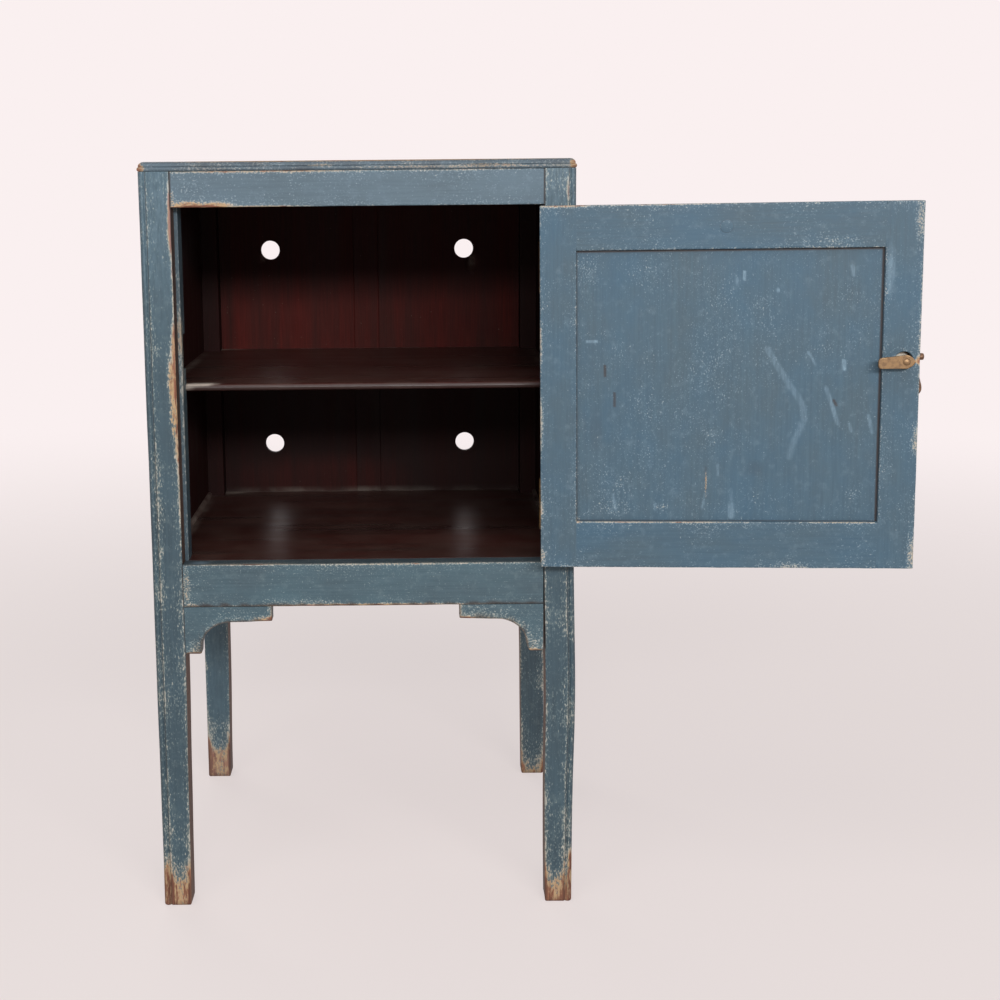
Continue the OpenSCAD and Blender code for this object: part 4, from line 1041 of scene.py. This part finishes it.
def turned(profile, sides, closed=False):
    """A turned shape about the X axis: rings of the profile's (distance along, radius) points. An open
    profile is closed on the axis at both ends, and a closed one makes a ring."""
    angle = np.linspace(0, 2 * np.pi, sides, endpoint=False)
    along, radius = np.array(profile, float).T
    rings = np.stack([np.broadcast_to(along[:, None], (len(along), sides)), radius[:, None] * np.cos(angle),
                      radius[:, None] * np.sin(angle)], -1)
    if not closed:
        return carried(rings)
    number = np.arange(len(along) * sides).reshape(len(along), sides)
    over, beside = np.roll(number, -1, 0), np.roll(number, -1, 1)
    return rings.reshape(-1, 3), [np.stack([number, beside, np.roll(over, -1, 1), over], -1).reshape(-1, 4)]


def dome(radius, height, start, steps=5, sign=1):
    """Points of a profile that rises from radius at start to the axis, as a flattened quarter circle."""
    a = np.radians(np.linspace(0, 84, steps))
    return [(start + sign * height * np.sin(t), radius * np.cos(t)) for t in a]


low, high = shut_extent("door_plug")
plug_r, plug_t = (high[0] - low[0]) / 2, high[1] - low[1]
proud = 0.22
profile = [(-proud, plug_r * 0.4), (-proud, plug_r - 0.7), (-0.05, plug_r), (plug_t + 0.05, plug_r),
           (plug_t + proud, plug_r - 0.7), (plug_t + proud, plug_r * 0.4)]
points, faces = turned(profile, 40)
points = points[:, ABOUT_Y]
around_edge = np.hypot(points[:, 0], points[:, 2]) > plug_r - 0.3
points = points + ((low[0] + high[0]) / 2, low[1], (low[2] + high[2]) / 2)
hang("door_plug", "set", points, faces, LEVEL, 130, soil=0.45 * around_edge)

# ---- Catch and handle ----
# A brass drop handle outside turns a spindle, riveted through a flat brass arm inside that slips
# behind the stop. All cast and filed; the bush in the wide hole is a pale plain sleeve.

brass = old_brass("cast_brass_tarnished", "#967A59", "#6C5743")
handle_brass = old_brass("cast_brass_handled", "#8A6C55", "#574338", 0.35, 0.6)


def fitted(node, how, points, faces, body="catch", material=brass):
    """A brass piece, laid out from the catch's middle with the door shut, then turned open with it."""
    place = swung(points + np.array([catch_at[0], 0, catch_at[2]]))
    piece(node, how, place, faces, [material], FLAT, 0, body=body, slot="brass")


low, high = shut_extent("catch_lever")
lever_y, lever_t = low[1], high[1] - low[1]
arm_long, tail_long, hub_r = high[0] - catch_at[0], catch_at[0] - low[0], 6.6
arm_top, arm_bottom = 3.5, -6.7
hub_over = [(hub_r * np.cos(a), hub_r * np.sin(a)) for a in np.radians(np.arange(75, 116, 10))]
shape, _ = outline([(arm_long, arm_bottom), (arm_long, arm_top), *hub_over, (-5.5, 4.2), (-tail_long, 0),
                    (-5.5, -4.2), (-1, arm_bottom + 0.1)],
                   [3.2, 3.2, *[0] * len(hub_over), 2, 0.6, 2, 2], 3)
centre = shape.mean(0)
run = np.roll(shape, -1, 0) - np.roll(shape, 1, 0)
way = np.stack([run[:, 1], -run[:, 0]], 1) / np.linalg.norm(run, axis=1, keepdims=True)
way *= np.sign(((shape - centre) * way).sum())
# each ring's height over the near face, how far it is cut in, and the share its shape is shrunk to
chamfer = 0.45
near_half = [(0, 0, 0.15), (0, 0, 0.5), (0, 0, 0.9), (0, chamfer, 1), (0.12, 0.2, 1), (chamfer, 0, 1)]
far_half = [(lever_t - height, *rest) for height, *rest in near_half[::-1]]
rings = [np.insert(centre + (shape - centre) * share - way * cut, 1, lever_y + height, axis=1)
         for height, cut, share in near_half + far_half]
fitted("catch_lever", "filed", *carried(np.array(rings)))

head_y = lever_y + lever_t
profile = [(lever_y - 6, 1.6), (head_y - 0.1, 1.6), (head_y - 0.1, 3.3), *dome(3.55, 1.25, head_y)]
points, faces = turned(profile, 28)
fitted("catch_rivet", "domed", points[:, ABOUT_Y], faces)

rose_low, rose_high = shut_extent("handle_rose")
bar_low, bar_high = shut_extent("handle_crossbar")
bar_y, half = (bar_low[1] + bar_high[1]) / 2, (bar_high[0] - bar_low[0]) / 2
boss_end = rose_low[1] - 0.4
profile = [*dome(4.6, 4.4, bar_y, 6, -1)[::-1], (bar_y + 2, 5), (bar_y + 4.5, 4.4), (bar_y + 6.5, 4.2),
           (boss_end - 1.6, 4.9), (boss_end - 0.5, 5), (boss_end, 4.6), (boss_end, 3),
           (shut_extent("catch_spindle")[1][1], 3)]
points, faces = turned(profile, 36)
fitted("catch_spindle", "turned", points[:, ABOUT_Y], faces)

profile = [(half - 5.8, 2.5), (half - 5.6, 3.3), (half - 5, 3.4), (half - 1.6, 3.4),
           *dome(3.3, 1.2, half - 1.2)]
profile = [(-a, r) for a, r in profile[::-1]] + [(-half + 8, 2.35), (0, 2.45), (half - 8, 2.35)] + profile
points, faces = turned(profile, 32)
fitted("handle_crossbar", "turned", points + (0, bar_y, 0), faces, material=handle_brass)

bush_r = 6.7
rose_r = (rose_high[0] - rose_low[0]) / 2
top, under = rose_low[1], rose_high[1]
profile = [(under, bush_r), (under, rose_r - 0.2), (under - 0.7, rose_r), (under - 1.3, rose_r - 0.5),
           (under - 1.6, rose_r - 2), (under - 1.5, rose_r - 3), (top + 0.2, rose_r - 4.2),
           (top, bush_r + 1), (top, bush_r)]
points, faces = turned(profile, 48, closed=True)
fitted("handle_rose", "turned", points[:, ABOUT_Y], faces, "door")

# the stirrup: two eyes on the crossbar, and a loop of wire that swells towards its lowest point
low, high = shut_extent("handle_stirrup")
wire_r = 2.3
eye_x, eye_w, eye_r = 15.3, 4.6, 4.3
half = (high[0] - low[0]) / 2 - wire_r - 0.1
bottom = low[2] - catch_at[2] + wire_r + 0.15
bends = np.array([(eye_x, -3.2), (eye_x + 1.6, -9), (half - 0.6, bottom + 9.5), (half - 0.1, bottom + 5.2),
                  (half - 1.6, bottom + 2.4), (half - 4.5, bottom + 1.1), (half * 0.45, bottom + 0.2),
                  (0, bottom)])
path = np.concatenate([bends, (bends * (-1, 1))[-2::-1]])
place = lengths(path)
even = np.linspace(0, place[-1], 90)
smooth = along(even, place, path)
for _ in range(3):
    smooth[1:-1] = (smooth[:-2] + 2 * smooth[1:-1] + smooth[2:]) / 4
run = ways(smooth)
thick = wire_r * (0.82 + 0.18 * np.clip(np.sin(np.pi * even / place[-1]) * 1.3, 0, 1))[:, None]
angle = np.linspace(0, 2 * np.pi, 20, endpoint=False)
points, (quads, tris) = carried(np.stack([smooth[:, None, 0] - run[:, None, 1] * thick * np.cos(angle),
                                          bar_y + thick * np.sin(angle),
                                          smooth[:, None, 1] + run[:, None, 0] * thick * np.cos(angle)], -1))
w = eye_w / 2
ring = [(-w, 2.6), (-w, eye_r - 0.5), (-w + 0.5, eye_r), (w - 0.5, eye_r), (w, eye_r - 0.5), (w, 2.6)]
for side in (-1, 1):
    eye, eye_faces = turned(ring, 32, closed=True)
    quads = np.concatenate([quads, eye_faces[0] + len(points)])
    points = np.concatenate([points, eye + (side * eye_x, bar_y, 0)])
fitted("handle_stirrup", "bent", points, [quads, tris], "handle_drop", handle_brass)

pale = old_brass("turned_aluminium_sleeve", "#C9C4B8", "#A9A498", 0.35, 0.5)
for name, metal in (("rose_pins", brass), ("spindle_bush", pale)):
    frame["nodes"][name].material_slots[0].material = metal

# ---- Floor, light and camera ----
# A plain pale floor that fades into a pale surround, a long soft light high in front and to the right,
# two weaker ones overhead and behind, and the camera where the photographer stood.

scene = bpy.context.scene
scene.view_settings.view_transform = "Standard"
surround = srgb("#FAF0F0")


def looks(tree):
    """1 for a ray that shows what it meets, seen straight, mirrored or through, and 0 for one that lights."""
    path = put(tree, "LightPath").node.outputs
    either = put(tree, "Math", [path["Is Camera Ray"], path["Is Glossy Ray"]], operation="MAXIMUM")
    return put(tree, "Math", [either, path["Is Transmission Ray"]], operation="MAXIMUM")


floor_mesh = bpy.data.meshes.new("floor")
angle = np.linspace(0, 2 * np.pi, 64, endpoint=False)
disc = [[r * np.cos(a), r * np.sin(a), 0] for r in (0.5, 1, 1.5, 2, 3, 4.5) for a in angle]
hub = [[len(disc), i, (i + 1) % len(angle)] for i in range(len(angle))]
floor_mesh.from_pydata([*disc, [0, 0, 0]], [], [*banded(6, len(angle))[:, [0, 3, 2, 1]].tolist(), *hub])
floor = bpy.data.objects.new("floor", floor_mesh)
scene.collection.objects.link(floor)
plain, tree, surface = new_material("plain_pale_floor")
tree.nodes.remove(surface)
away = put(tree, "VectorMath", [put(tree, "TexCoord", out="Object")], "Value", operation="LENGTH")
fade = put(tree, "MapRange", [away, 0.7, 3.4], interpolation_type="SMOOTHSTEP")
lit = put(tree, "MapRange", [looks(tree), 0, 1, 0, 0.6])
matt = put(tree, "BsdfDiffuse", {"Color": srgb("#E6DCD6")})
glow = put(tree, "Emission", {"Color": surround, "Strength": 1.0})
pale_floor = put(tree, "MixShader", [lit, matt, glow])
mixed = put(tree, "MixShader", [fade, pale_floor, put(tree, "BsdfTransparent")])
feed(tree.nodes["Material Output"], {"Surface": mixed})
floor_mesh.materials.append(plain)

world = bpy.data.worlds.new("soft_room")
scene.world = world
world.use_nodes = True
tree = world.node_tree
room = tree.nodes["Background"]
feed(room, {"Color": srgb("#FFFFFF"), "Strength": 0.22})
seen = put(tree, "Background", {"Color": surround, "Strength": 1.0})
feed(tree.nodes["World Output"], {"Surface": put(tree, "MixShader", [looks(tree), room.outputs[0], seen])})

# each a rectangular area lamp: where it stands and what it is aimed at, its width and height, in metres
for name, place, target, size, power in (
        ("key", (0.75, -3.25, 1.58), (0.1, -0.2, 0.55), (2.5, 0.35), 74),
        ("over", (-0.5, -1.7, 2.9), (0.1, 0, 0.4), (1.6, 1.6), 20),
        ("behind", (-1.2, 2.6, 2.2), (0, 0, 0.4), (2.0, 2.0), 26)):
    lamp = bpy.data.lights.new(name, "AREA")
    lamp.shape = "RECTANGLE"
    lamp.size, lamp.size_y = size
    lamp.energy = power
    made = bpy.data.objects.new(name, lamp)
    scene.collection.objects.link(made)
    made.location = place
    way = mathutils.Vector(target) - mathutils.Vector(place)
    made.rotation_euler = way.to_track_quat("-Z", "Y").to_euler()

focal_px, picture_px = 1600.71, 1000
centre_px = (420, 450)          # where the lens axis meets the picture, from its left and top
eye = np.array([54.25, -1790.29, 752.68]) * METRES
yaw, pitch, roll = 0.00308419, 0.16624062, 0.00934589
forward = np.array([np.sin(yaw) * np.cos(pitch), np.cos(yaw) * np.cos(pitch), -np.sin(pitch)])
level_right = np.array([np.cos(yaw), -np.sin(yaw), 0])
level_down = np.cross(forward, level_right)
right = np.cos(roll) * level_right + np.sin(roll) * level_down
up_way = np.sin(roll) * level_right - np.cos(roll) * level_down
lens = bpy.data.cameras.new("camera")
lens.sensor_width = 36
lens.lens = focal_px / picture_px * lens.sensor_width
lens.shift_x = (picture_px / 2 - centre_px[0]) / picture_px
lens.shift_y = (centre_px[1] - picture_px / 2) / picture_px
camera = bpy.data.objects.new("camera", lens)
scene.collection.objects.link(camera)
turn = np.eye(4)
turn[:3, 0], turn[:3, 1], turn[:3, 2], turn[:3, 3] = right, up_way, -forward, eye
camera.matrix_world = mathutils.Matrix(turn.tolist())
scene.camera = camera
